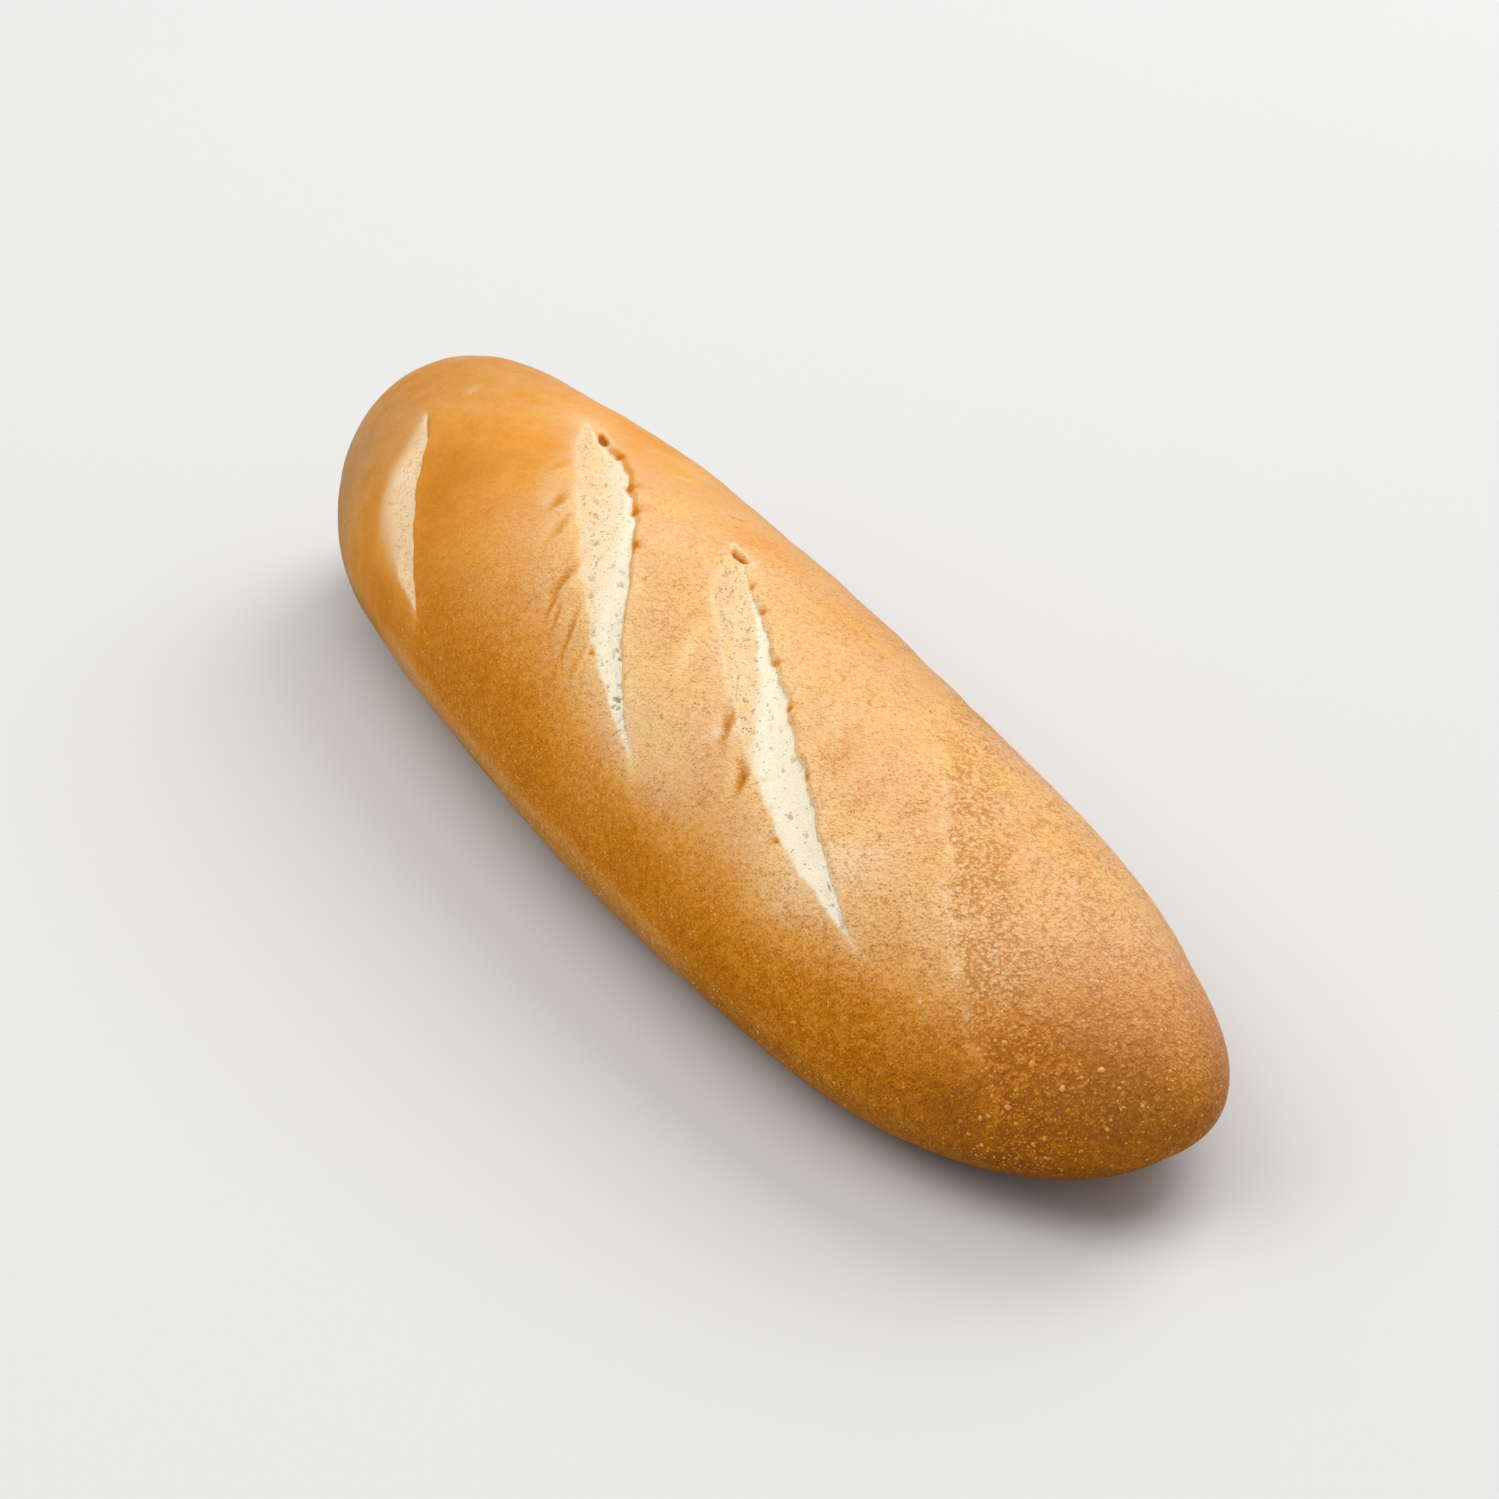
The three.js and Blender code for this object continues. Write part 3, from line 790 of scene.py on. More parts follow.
def band_fields(sections, angle, smooth_points):
    """How strong the scar is, how full the band, and how pebbled the crust from it on."""
    beyond = band_distance(sections, angle) + BAND_RAGGEDNESS * noise_at(smooth_points, *RAGGED_BORDER)
    broken = SCAR_STRENGTH["middle"] + SCAR_STRENGTH["change"] * noise_at(smooth_points, *BROKEN_SCAR)
    broken = np.clip(broken, SCAR_STRENGTH["least"], SCAR_STRENGTH["most"])
    scar = broken * bump_curve(beyond, SCAR_HALF_WIDTH) * ramp(angle, *SCAR_TOP) * ramp(angle, *SCAR_FRONT)
    band = ramp(beyond, *BAND_NEAR_BORDER) * ramp(beyond, *BAND_FAR_BORDER)
    fullness = PEBBLES_BEYOND_BAND + (1 - PEBBLES_BEYOND_BAND) * band
    return scar, band, ramp(beyond, *BAND_NEAR_BORDER) * fullness


def crumb_inside(slash, crumb, front, behind):
    """How open the crust is between a slash's edges."""
    soft = CRUMB_EDGE["width"] + crumb["melt"] * ramp(slash.share, *CRUMB_EDGE["melting"])
    narrow = np.minimum(1, slash.width / soft)
    inside = ramp(front, CRUMB_EDGE["front"], -soft * narrow) * ramp(behind, *CRUMB_EDGE["back"])
    return np.where(slash.live, inside * np.minimum(1, slash.width / CRUMB_EDGE["open_width"]), 0)


def crumb_toast(slash, crumb, angle, inside):
    """How toasted the crumb is, where it shows."""
    across = slash.across(angle)
    skewed = slash.share + TOAST_SKEW * (across - 0.5) + TOAST_BACK_SKEW * ramp(across, *TOAST_BACK)
    toasted = ramp(crumb["toasted_to"] - skewed, -crumb["change"], crumb["change"])
    browning = crumb["toast"] * toasted * (TOAST_AT_FRONT - TOAST_LOST_AT_BACK * across)
    return inside * browning * (1 - crumb["lost"] * ramp(skewed, 0, crumb["toasted_to"]))


def slash_halo(slash, crumb, front, behind):
    """How pale the crust just past a slash's edges is."""
    nearness = np.maximum(np.maximum(front, behind), 0)
    past_tips = np.maximum(np.maximum(-slash.share, slash.share - 1), 0)
    fade = sum(strength * np.exp(-nearness / length) for strength, length in HALO_FADES)
    strength = np.where(front > behind, crumb["front_halo"], crumb["back_halo"])
    return strength * fade * np.exp(-past_tips / HALO_PAST_TIPS)


def open_fields(slashes, angle):
    """How open the crust is; how toasted, tanned and holed the crumb; the halo and rim."""
    fields = {name: np.zeros_like(angle) for name in ("open", "toast", "tan", "holed", "halo", "rim")}
    for slash, crumb in zip(slashes, CRUMBS):
        front = slash.past_front(angle) - crumb["torn"] * bump_curve(slash.share - TORN_PLACE, TORN_REACH)
        behind = slash.past_back(angle)
        inside = crumb_inside(slash, crumb, front, behind)
        browning = crumb_toast(slash, crumb, angle, inside)
        holes = ramp(slash.share, *(crumb["holed_from"] + change for change in HOLED_CHANGE))
        on_lip = bump_curve(behind - RIM_PLACE, RIM_HALF_WIDTH) * slash.live
        found = {
            "open": inside,
            "toast": browning,
            "tan": crumb["tan"] * browning,
            "holed": inside * holes,
            "halo": slash_halo(slash, crumb, front, behind),
            "rim": crumb["rim"] * on_lip * slash.open_share,
        }
        for name, values in found.items():
            fields[name] = np.maximum(fields[name], values)
    return fields


def crumb_pores(smooth_points, opened, holed):
    """The larger holes of the open crumb, from 0 beside them to 1 in their middle."""
    bubbles = np.maximum(noise_at(smooth_points, *LARGE_PORES), noise_at(smooth_points, *SMALL_PORES))
    return opened * ramp(bubbles, *(border - PORES_WHERE_HOLED * holed for border in PORE_BORDER))


def tip_share(sections, angle):
    """How near a place is to the slim tip, most of all on its top and front."""
    return ramp(sections.along, *SLIM_TIP) * (BAKED["tip_sides"] + BAKED["tip_top"] * ramp(angle, *TIP_TOP))


def baked_share(sections, angle):
    """How brown the crust is baked, before anything that is drawn on it; the back's upper edge is drawn paler
    there as a painted sheen.
    """
    along = sections.along
    around = np.abs(angle)
    lift = SLIM_LIFT * ramp(along, *SLIM_SIDE) + BROAD_LIFT * ramp(along, *BROAD_SIDE)
    low_front = ramp(angle, SIDE_START - lift, SIDE_FULL - FULL_LIFT_SHARE * lift)
    lower = np.maximum(low_front, ramp(angle, *LOW_BACK))
    towards_broad = ramp(along, *TOWARDS_BROAD)
    top = BAKED["top"] + BAKED["top_towards_broad"] * towards_broad
    top = top + BAKED["broad_top"] * ramp(along, *BROAD_TOP)
    side = BAKED["side"] + BAKED["side_towards_broad"] * towards_broad
    side = side + BAKED["broad_side"] * ramp(along, *BROAD_SKIN)
    fringe = BAKED["fringe"] + BAKED["middle_fringe"] * ramp(np.abs(along), *MIDDLE)
    fringe = ramp(around, *FRINGE_START) * ramp(around, *FRINGE_END) * fringe
    tip = BAKED["tip"] * tip_share(sections, angle) * (1 - BAKED["tip_lost_low"] * lower)
    under = BAKED["underside"] * ramp(around, *UNDERSIDE)
    # A painted sheen: the back's upper edge is drawn paler.
    painted_back_sheen = BAKED["painted_back_sheen"] * ramp(angle, *PAINTED_SHEEN_PALE_BACK)
    return top + (side - top) * lower + tip - fringe + under - painted_back_sheen


class Skin:
    """The grid over the loaf's crust: its points, and the values that finish it."""

    def __init__(self):
        self.sections = Sections(rows_along())
        slashes = [Slash(number, self.sections) for number in range(len(SLASHES))]
        self.angle = ring_angles(self.sections, slashes)
        self.crumb = open_fields(slashes, self.angle)
        tucks, self.tuck_stain_and_shade = tuck_fields(self.sections, slashes, self.angle)
        splits, self.split_stain, self.split_rim = split_fields(self.sections, self.angle)
        creases, self.painted_crease_shading = crease_fields(self.sections, self.angle)

        relief = sum(slash.relief(self.angle) for slash in slashes)
        relief = relief + swell_relief(self.sections, self.angle) + tucks + splits + creases
        relief = relief * ramp(np.abs(self.angle), RELIEF_END_ANGLE, RELIEF_FULL_ANGLE)
        keep_bulges = ramp(np.abs(self.angle), BULGE_END_ANGLE, BULGE_FULL_ANGLE)
        relief = relief + bulge_relief(self.sections, self.angle) * keep_bulges
        self.smooth_points = skin_points(self.sections, self.angle, relief * self.sections.room)

        self.scar, self.band, self.pebble = band_fields(self.sections, self.angle, self.smooth_points)
        self.pores = crumb_pores(self.smooth_points, self.crumb["open"], self.crumb["holed"])
        relief = relief + self.roughness()
        relief = relief - HOLE_DEPTH * self.pores - SCAR_DEPTH * self.scar
        self.points = skin_points(self.sections, self.angle, relief * self.sections.room)
        self.near = ramp(self.far_distance(), *NEAR)

    def roughness(self):
        """Fine relief all over, coarser where the crust is pebbled."""
        lumps = LUMP_RISE * noise_at(self.smooth_points, *LUMPS)
        rise = (GRAIN_MILLIMETRES + PEBBLE_MILLIMETRES * self.pebble) * MM
        grains = rise * noise_at(self.smooth_points, *GRAINS)
        return (lumps + grains) * ramp(np.abs(self.angle), *LUMPS_ROUND)

    def far_distance(self):
        return FAR_ACROSS * self.smooth_points[..., 1] - FAR_ALONG * self.smooth_points[..., 0]

    def upper(self):
        return ramp(self.angle, *UPPER_FRONT) * ramp(self.angle, *UPPER_BACK)

    def bake(self):
        total = baked_share(self.sections, self.angle)
        browned = {
            "halo": self.crumb["halo"],
            "split_rim": self.split_rim,
            # The creases' painted shading: shade in the valleys, light on the ridges.
            "painted_crease_shading": self.painted_crease_shading,
            "patches": patch_field(self.sections, self.angle),
            "band": self.band,
            "scar": self.scar,
            "rim": self.crumb["rim"],
        }
        for name, values in browned.items():
            total = total + BROWNED[name] * values
        # Tucks and splits are drawn browner, partly stained and partly painted shade in their dents.
        return total + BROWNED["tuck"] * self.tuck_stain_and_shade * (1 - total) + BROWNED["split"] * self.split_stain

    def grain(self):
        total = GRAINED["far"] + GRAINED["near"] * self.near
        return total + GRAINED["slim"] * ramp(self.sections.along, *SLIM_GRAIN)

    # The dulling: painted shade low on the front and in the creases, the duller half of a painted sheen on
    # the back's upper edge, and a duller broad end, slim tip and tanned crumb.
    def dull(self):
        along, angle = self.sections.along, self.angle
        total = DULLING_AND_PAINTED_LIGHT["broad"] * ramp(along, *BROAD_DULL) + DULLING_AND_PAINTED_LIGHT["front"] * ramp(angle, *PAINTED_SHADE_LOW_FRONT)
        total = total + DULLING_AND_PAINTED_LIGHT["broad_front"] * ramp(along, *BROAD_SKIN) * ramp(angle, *DULL_BROAD_FRONT)
        total = total + DULLING_AND_PAINTED_LIGHT["tip"] * tip_share(self.sections, angle) * ramp(angle, *DULL_TIP)
        # The duller half of the painted sheen on the back's upper edge, less towards the slim end.
        kept = 1 - DULLING_AND_PAINTED_LIGHT["back_lost_slim"] * ramp(along, *SLIM_BACK)
        total = total + DULLING_AND_PAINTED_LIGHT["back"] * ramp(angle, *PAINTED_SHEEN_DULL_BACK) * kept
        total = total + DULLING_AND_PAINTED_LIGHT["painted_crease_shading"] * np.maximum(self.painted_crease_shading, 0)
        return total * (1 - self.crumb["open"]) + self.crumb["tan"]

    # A rosy painted sheen: a light veil over the upper crust, stronger at the slim end and its top.
    def bloom(self):
        slim_top = ramp(self.sections.along, *SLIM_TOP_SHEEN) * ramp(self.angle, *SHEEN_TOP)
        slim_top = slim_top * ramp(self.angle, *UPPER_BACK)
        slim_end = ramp(self.sections.along, *SLIM_END_SHEEN)
        slim_sheen = PAINTED_SHEEN_STRENGTH["slim_end"] + PAINTED_SHEEN_STRENGTH["slim_top"] * slim_top
        return PAINTED_SHEEN_STRENGTH["upper"] * self.upper() + slim_end * slim_sheen

    def gloss(self):
        back = GLOSSED["back"] * ramp(self.angle, *GLOSSY_BACK)
        return self.upper() * (GLOSSED["upper"] + GLOSSED["pebbles"] * self.pebble + back)

    def blistered(self):
        low_front = ramp(self.angle, *LOW_FRONT)
        total = BLISTERED["all"]
        for name, values in (("near", self.near), ("pebbles", self.pebble), ("band", self.band)):
            total = total + values * (BLISTERED[name] + BLISTERED[name + "_low"] * low_front)
        total = total + BLISTERED["scar"] * self.scar
        return np.clip(total, 0, 1) * (1 - self.crumb["open"]) * ramp(np.abs(self.angle), *BLISTERS_END)

    def values(self):
        """What the crust's material and its blisters read, by name."""
        torn = np.maximum(self.split_stain, TORN_BY_TUCK * self.tuck_stain_and_shade)
        return {
            "bake": self.bake(),
            "open": self.crumb["open"] * (1 - torn),
            "toast": self.crumb["toast"],
            "pore": self.pores,
            "holed": self.crumb["holed"],
            "grain": self.grain(),
            "dull": self.dull(),
            "bloom": self.bloom(),
            "cobble": self.pebble,
            "gloss": self.gloss(),
            "blister": self.blistered(),
            "swelling": 1 + SWOLLEN["scar"] * self.scar + SWOLLEN["band"] * self.band,
        }


# ---------------------------------------------------------------- crust mesh
def base_points(skin, sections):
    """Points across the flat base, which bellies down to the spot it rests on."""
    front_edge = skin[:, -1:]
    back_edge = skin[:, :1]
    share = (np.arange(1, BASE_COLUMNS) / BASE_COLUMNS).reshape(1, -1, 1)
    points = front_edge + (back_edge - front_edge) * share
    from_middle = np.abs(2 * share[..., 0] - 1)
    off_place = np.abs(sections.along - BELLY_PLACE)
    belly = ramp(from_middle, *BELLY_SHARES) * ramp(off_place, *BELLY_REACH)
    points[..., 2] -= REST_DROP * belly
    return points


def grid_faces(rows, columns):
    """Quads between each row and the next, and fans over the two tips."""
    row = np.arange(rows - 1).reshape(-1, 1) * columns
    here = np.arange(columns).reshape(1, -1)
    following = (here + 1) % columns
    quads = np.stack([row + here, row + following, row + columns + following, row + columns + here], axis=-1)
    broad_tip = rows * columns
    slim_tip = broad_tip + 1
    last_row = (rows - 1) * columns
    fans = [(broad_tip, (i + 1) % columns, i) for i in range(columns)]
    fans += [(slim_tip, last_row + i, last_row + (i + 1) % columns) for i in range(columns)]
    return quads.reshape(-1, 4).tolist() + fans


def plain_mesh(name, points, faces):
    mesh = bpy.data.meshes.new(name)
    mesh.from_pydata(points.tolist(), [], faces)
    mesh.shade_smooth()
    thing = bpy.data.objects.new(name, mesh)
    bpy.context.scene.collection.objects.link(thing)
    return thing


def mark(thing, name, values):
    attribute = thing.data.attributes.new(name, "FLOAT", "POINT")
    attribute.data.foreach_set("value", values.astype(np.float32).ravel())


def mark_skin(crust, skin, name, values):
    """A value over the skin, the base and the tips, blended where the rings close."""
    on_base, *on_tips = BASE_AND_TIPS.get(name, (0, 0, 0))
    values = np.broadcast_to(values, skin.angle.shape)
    base_values = np.full((len(values), BASE_COLUMNS - 1), float(on_base))
    ring = np.concatenate([values, base_values], axis=1)
    on_tip = np.where(skin.sections.along < 0, *on_tips)
    ring = on_tip + (ring - on_tip) * ramp(skin.sections.room, *TIP_BLEND)
    mark(crust, name, np.concatenate([ring.ravel(), on_tips]))


def build_crust():
    skin = Skin()
    base = base_points(skin.points, skin.sections)
    tip_sections = Sections(np.array([-LOAF_LENGTH / 2, LOAF_LENGTH / 2]))
    tips = skin_points(tip_sections, np.zeros((2, 1)), 0)
    rings = np.concatenate([skin.points, base], axis=1)
    points = np.concatenate([rings.reshape(-1, 3), tips.reshape(-1, 3)])
    points[:, 1] -= (points[:, 1].max() + points[:, 1].min()) / 2
    crust = plain_mesh("crust", points, grid_faces(*rings.shape[:2]))
    for name, values in skin.values().items():
        mark_skin(crust, skin, name, values)
    return crust


# ---------------------------------------------------------------- blisters
def blister_dome():
    """One closed blister of unit radius: a low dome with its rim below the crust."""
    turns = np.arange(DOME_SIDES) * 2 * math.pi / DOME_SIDES
    rings = [(radius * math.cos(t), radius * math.sin(t), z) for radius, z in DOME_RINGS for t in turns]
    apex = len(rings)
    faces = [tuple(range(DOME_SIDES - 1, -1, -1))]
    for side in range(DOME_SIDES):
        following = (side + 1) % DOME_SIDES
        faces.append((side, following, DOME_SIDES + following, DOME_SIDES + side))
        faces.append((DOME_SIDES + side, DOME_SIDES + following, apex))
    return plain_mesh("blister_dome", np.array([*rings, (0, 0, DOME_TOP)]), faces)


class Tree:
    """A Geometry Nodes tree under construction."""

    def __init__(self, name, inputs):
        self.group = bpy.data.node_groups.new(name, "GeometryNodeTree")
        self.group.interface.new_socket("Geometry", in_out="INPUT", socket_type="NodeSocketGeometry")
        self.group.interface.new_socket("Geometry", in_out="OUTPUT", socket_type="NodeSocketGeometry")
        for title, kind, _ in inputs:
            self.group.interface.new_socket(title, in_out="INPUT", socket_type=kind)
        self.start = self.group.nodes.new("NodeGroupInput")

    def node(self, kind, settings, sockets):
        made = self.group.nodes.new(kind)
        for name, value in settings.items():
            setattr(made, name, value)
        for name, value in sockets.items():
            if isinstance(value, bpy.types.NodeSocket):
                self.group.links.new(value, made.inputs[name])
            else:
                made.inputs[name].default_value = value
        return made

    def maths(self, operation, first, second):
        return self.node("ShaderNodeMath", {"operation": operation}, {0: first, 1: second}).outputs[0]

    def end(self, geometry):
        self.node("NodeGroupOutput", {}, {"Geometry": geometry})


def blister_tree(dome, material):
    """Scatters the dome by the crust's own values, mostly small, each stretched its own way."""
    tree = Tree("scatter_blisters", BLISTER_INPUTS)
    given = tree.start.outputs
    share = tree.node("GeometryNodeInputNamedAttribute", {"data_type": "FLOAT"}, {"Name": "blister"})
    density = tree.maths("MULTIPLY", share.outputs["Attribute"], given["Blisters per square metre"])
    spread = tree.node(
        "GeometryNodeDistributePointsOnFaces",
        {"distribute_method": "RANDOM"},
        {"Mesh": given["Geometry"], "Density": density, "Seed": given["Seed"]},
    )
    chance = tree.node("FunctionNodeRandomValue", {"data_type": "FLOAT"}, {"Seed": SIZE_SEED}).outputs[1]
    swelling = tree.node("GeometryNodeInputNamedAttribute", {"data_type": "FLOAT"}, {"Name": "swelling"})
    rare_large = tree.maths("POWER", chance, SIZE_RARITY)
    growth = tree.maths("SUBTRACT", given["Largest radius"], given["Smallest radius"])
    radius = tree.maths("ADD", tree.maths("MULTIPLY", rare_large, growth), given["Smallest radius"])
    stretch = tree.node(
        "FunctionNodeRandomValue",
        {"data_type": "FLOAT_VECTOR"},
        {"Min": LEAST_STRETCH, "Max": MOST_STRETCH, "Seed": STRETCH_SEED},
    ).outputs[0]
    radius = tree.maths("MULTIPLY", radius, swelling.outputs["Attribute"])
    scale = tree.node("ShaderNodeVectorMath", {"operation": "SCALE"}, {"Vector": stretch, "Scale": radius})
    shape = tree.node("GeometryNodeObjectInfo", {}, {"Object": dome})
    placed = tree.node(
        "GeometryNodeInstanceOnPoints",
        {},
        {
            "Points": spread.outputs["Points"],
            "Instance": shape.outputs["Geometry"],
            "Rotation": spread.outputs["Rotation"],
            "Scale": scale.outputs["Vector"],
        },
    )
    real = tree.node("GeometryNodeRealizeInstances", {}, {"Geometry": placed.outputs["Instances"]})
    sockets = {"Geometry": real.outputs["Geometry"], "Material": material}
    dressed = tree.node("GeometryNodeSetMaterial", {}, sockets)
    tree.end(dressed.outputs["Geometry"])
    return tree.group


def build_large_blisters(crust, material):
    """Each of the largest blisters: a dome on the point of the crust nearest to its place."""
    count = len(crust.data.vertices)
    points = np.empty(count * 3)
    crust.data.vertices.foreach_get("co", points)
    points = points.reshape(-1, 3)
    dome = blister_dome()
    unit = [vertex.co.copy() for vertex in dome.data.vertices]
    unit_faces = [tuple(face.vertices) for face in dome.data.polygons]
    vertices, faces, baked = [], [], []
    for number, (along, degrees_round, radius) in enumerate(LARGE_BLISTERS):
        place = skin_points(Sections(np.array([along])), np.array([[degrees_round]]), 0)[0, 0]
        nearest = crust.data.vertices[int(np.argmin(((points - place) ** 2).sum(axis=1)))]
        turn = nearest.normal.to_track_quat("Z", "Y")
        stretch = LARGE_STRETCHES[number % len(LARGE_STRETCHES)]
        first = len(vertices)
        vertices += [nearest.co + turn @ (corner * stretch * radius) for corner in unit]
        faces += [tuple(first + index for index in face) for face in unit_faces]
        bake = crust.data.attributes["bake"].data[nearest.index].value
        baked += [LARGE_BLISTER_BAKE * bake] * len(unit)
    bpy.data.objects.remove(dome)
    large_blisters = plain_mesh("large_blisters", np.array(vertices), faces)
    mark(large_blisters, "bake", np.array(baked))
    large_blisters.data.materials.append(material)
    return large_blisters


def joined(first, second):
    """The first thing with the second one's mesh added to its own."""
    with bpy.context.temp_override(active_object=first, selected_editable_objects=[first, second]):
        bpy.ops.object.join()
    return first


def build_blisters(crust, material):
    """Small paler bubbles of the crust, thickest towards the slim end."""
    dome = blister_dome()
    dome.data.materials.append(material)
    group = blister_tree(dome, material)
    carrier = bpy.data.objects.new("blister_carrier", crust.data.copy())
    bpy.context.scene.collection.objects.link(carrier)
    scatter = carrier.modifiers.new("scatter", "NODES")
    scatter.node_group = group
    sockets = {item.name: item.identifier for item in group.interface.items_tree if item.in_out == "INPUT"}
    for title, _, value in BLISTER_INPUTS:
        scatter[sockets[title]] = value
    evaluated = carrier.evaluated_get(bpy.context.evaluated_depsgraph_get())
    mesh = bpy.data.meshes.new_from_object(evaluated)
    blisters = bpy.data.objects.new("blisters", mesh)
    bpy.context.scene.collection.objects.link(blisters)
    bpy.data.objects.remove(carrier)
    bpy.data.objects.remove(dome)
    return blisters


# ---------------------------------------------------------------- shader maths
class Wire:
    """A socket whose arithmetic adds Math nodes."""

    def __init__(self, recipe, socket):
        self.recipe = recipe
        self.socket = socket

    def _math(self, operation, first, second):
        return self.recipe.node("ShaderNodeMath", {"operation": operation}, {0: first, 1: second})

    def __add__(self, other):
        return self._math("ADD", self, other)

    __radd__ = __add__

    def __sub__(self, other):
        return self._math("SUBTRACT", self, other)

    def __rsub__(self, other):
        return self._math("SUBTRACT", other, self)

    def __mul__(self, other):
        return self._math("MULTIPLY", self, other)

    __rmul__ = __mul__

    def __pow__(self, other):
        return self._math("POWER", self, other)

    def clamped(self):
        return self.recipe.node("ShaderNodeClamp", {}, {0: self})

    def over(self, start, end):
        """0 up to the start and 1 past the end, smoothly."""
        settings = {"interpolation_type": "SMOOTHSTEP"}
        return self.recipe.node("ShaderNodeMapRange", settings, {0: self, 1: start, 2: end, 3: 0, 4: 1})


class Recipe:
    """The nodes of one material."""

    def __init__(self, name):
        self.material = bpy.data.materials.new(name)
        self.material.use_nodes = True
        self.nodes = self.material.node_tree.nodes
        self.links = self.material.node_tree.links
        self.nodes.clear()

    def node(self, kind, settings, sockets, output=0):
        made = self.nodes.new(kind)
        for name, value in settings.items():
            if name == "stops":
                self._set_stops(made.color_ramp, value)
            else:
                setattr(made, name, value)
        for name, value in sockets.items():
            if isinstance(value, Wire):
                self.links.new(value.socket, made.inputs[name])
            else:
                made.inputs[name].default_value = value
        return Wire(self, made.outputs[output])

    def _set_stops(self, colour_ramp, stops):
        elements = colour_ramp.elements
        while len(elements) < len(stops):
            elements.new(1)
        for element, (place, colour) in zip(elements, stops):
            element.position = place
            element.color = (*colour, 1)

    def attribute(self, name):
        return self.node("ShaderNodeAttribute", {"attribute_name": name}, {}, "Fac")

    def place(self):
        return self.node("ShaderNodeTexCoord", {}, {}, "Object")

    def noise(self, place, grain, detail, roughness):
        sockets = {"Vector": place, "Scale": 1 / grain, "Detail": detail, "Roughness": roughness}
        return self.node("ShaderNodeTexNoise", {}, sockets, "Fac")

    def shaken(self, place, grain, reach):
        """The place pushed about by noise, so that what is drawn there is less regular."""
        sockets = {"Vector": place, "Scale": 1 / grain, "Detail": 1}
        push = self.node("ShaderNodeTexNoise", {}, sockets, "Color")
        reach = (reach, reach, reach)
        return self.node("ShaderNodeVectorMath", {"operation": "MULTIPLY_ADD"}, {0: push, 1: reach, 2: place})

    def cells(self, place, grain):
        """Distance from the middle of the nearest cell, and that cell's random number."""
        sockets = {"Vector": place, "Scale": 1 / grain}
        distance = self.node("ShaderNodeTexVoronoi", {}, sockets, "Distance")
        chance = self.node("ShaderNodeTexVoronoi", {}, sockets, "Color")
        return distance, self.node("ShaderNodeSeparateColor", {}, {0: chance}, "Red")

    def mixed(self, factor, first, second, blend="MIX"):
        settings = {"data_type": "RGBA", "blend_type": blend}
        colours = [c if isinstance(c, Wire) else (*c, 1) for c in (first, second)]
        return self.node("ShaderNodeMix", settings, {0: factor, 6: colours[0], 7: colours[1]}, 2)

    def bump(self, height, distance):
        return self.node("ShaderNodeBump", {}, {"Height": height, "Distance": distance, "Strength": 1})

    def finish(self, constants, sockets):
        surface = self.node("ShaderNodeBsdfPrincipled", {}, {**constants, **sockets})
        output = self.nodes.new("ShaderNodeOutputMaterial")
        self.links.new(surface.socket, output.inputs["Surface"])
        return self.material


# ---------------------------------------------------------------- materials
# Colour of the crust at each share of baking.
CRUST_STOPS = (
    (-0.35, (0.95, 0.70, 0.40)),
    (0.00, (0.88, 0.53, 0.225)),
    (0.20, (0.80, 0.425, 0.15)),
    (0.42, (0.77, 0.315, 0.036)),
    (0.65, (0.62, 0.212, 0.003)),
    (1.00, (0.41, 0.126, 0.001)),
    (1.35, (0.25, 0.074, 0.001)),
)
SHADE = (0.66, 0.50, 0.24)
# Grey that dulls the crust, and darkens it as painted shade where that is drawn.
SHADE_AND_DULLING_GREY = (0.50, 0.50, 0.50)
ROSY = (0.99, 0.985, 1.07)
OCHRE = (1.01, 1.015, 0.93)
# Rosy colour of the painted sheen.
PAINTED_SHEEN_COLOUR = (0.80, 0.45, 0.45)
CREAM = (0.97, 0.875, 0.67)
TOASTED_CREAM = (1.00, 0.66, 0.33)
PORE = (0.46, 0.33, 0.12)
PALE_PORE = (0.42, 0.36, 0.22)

# Noises of the crust, the crumb and the blisters: how large their lumps are, how many
# finer layers they have, and how strong those are.
CLOUDS = (24 * MM, 3, 0.55)
HUES = (11 * MM, 2, 0.55)
MOTTLE = (4.5 * MM, 4, 0.55)
CURDS = (1.1 * MM, 3, 0.55)
DUST = (0.28 * MM, 2, 0.7)
CRUMB_PATCHES = (2.2 * MM, 3, 0.55)
CRUMB_GRAIN = (0.26 * MM, 2, 0.7)
BLISTER_TONES = (1.6 * MM, 2, 0.55)

# Cells of the crust and the crumb, and how they are shaken: the size of the noise that
# pushes them about, and how far.
SMALL_CELLS = 0.62 * MM
LARGE_CELLS = 1.05 * MM
LARGE_CRUMB_CELLS = 1.15 * MM
CRUST_SHAKE = (0.9 * MM, 0.5 * MM)
CRUMB_SHAKE = (0.5 * MM, 0.6 * MM)

# What is drawn in a cell: its border, as distances from the cell's middle in cells, and
# which of the cells' random numbers have it.
PIT = (0.42, 0.12)
PIT_CHANCE = (0.35, 0.85)
BUBBLE = (0.10, 0.75)
VALLEY = (0.40, 0.80)
DOME = (0.45, 0.10)
DOME_CHANCE = (0.4, 0.9)
SPECK = (0.34, 0.14)
SPECK_CHANCE = (0.72, 0.84)
HOLE = (0.46, 0.30)
HOLE_CHANCE = (0.50, 0.58)

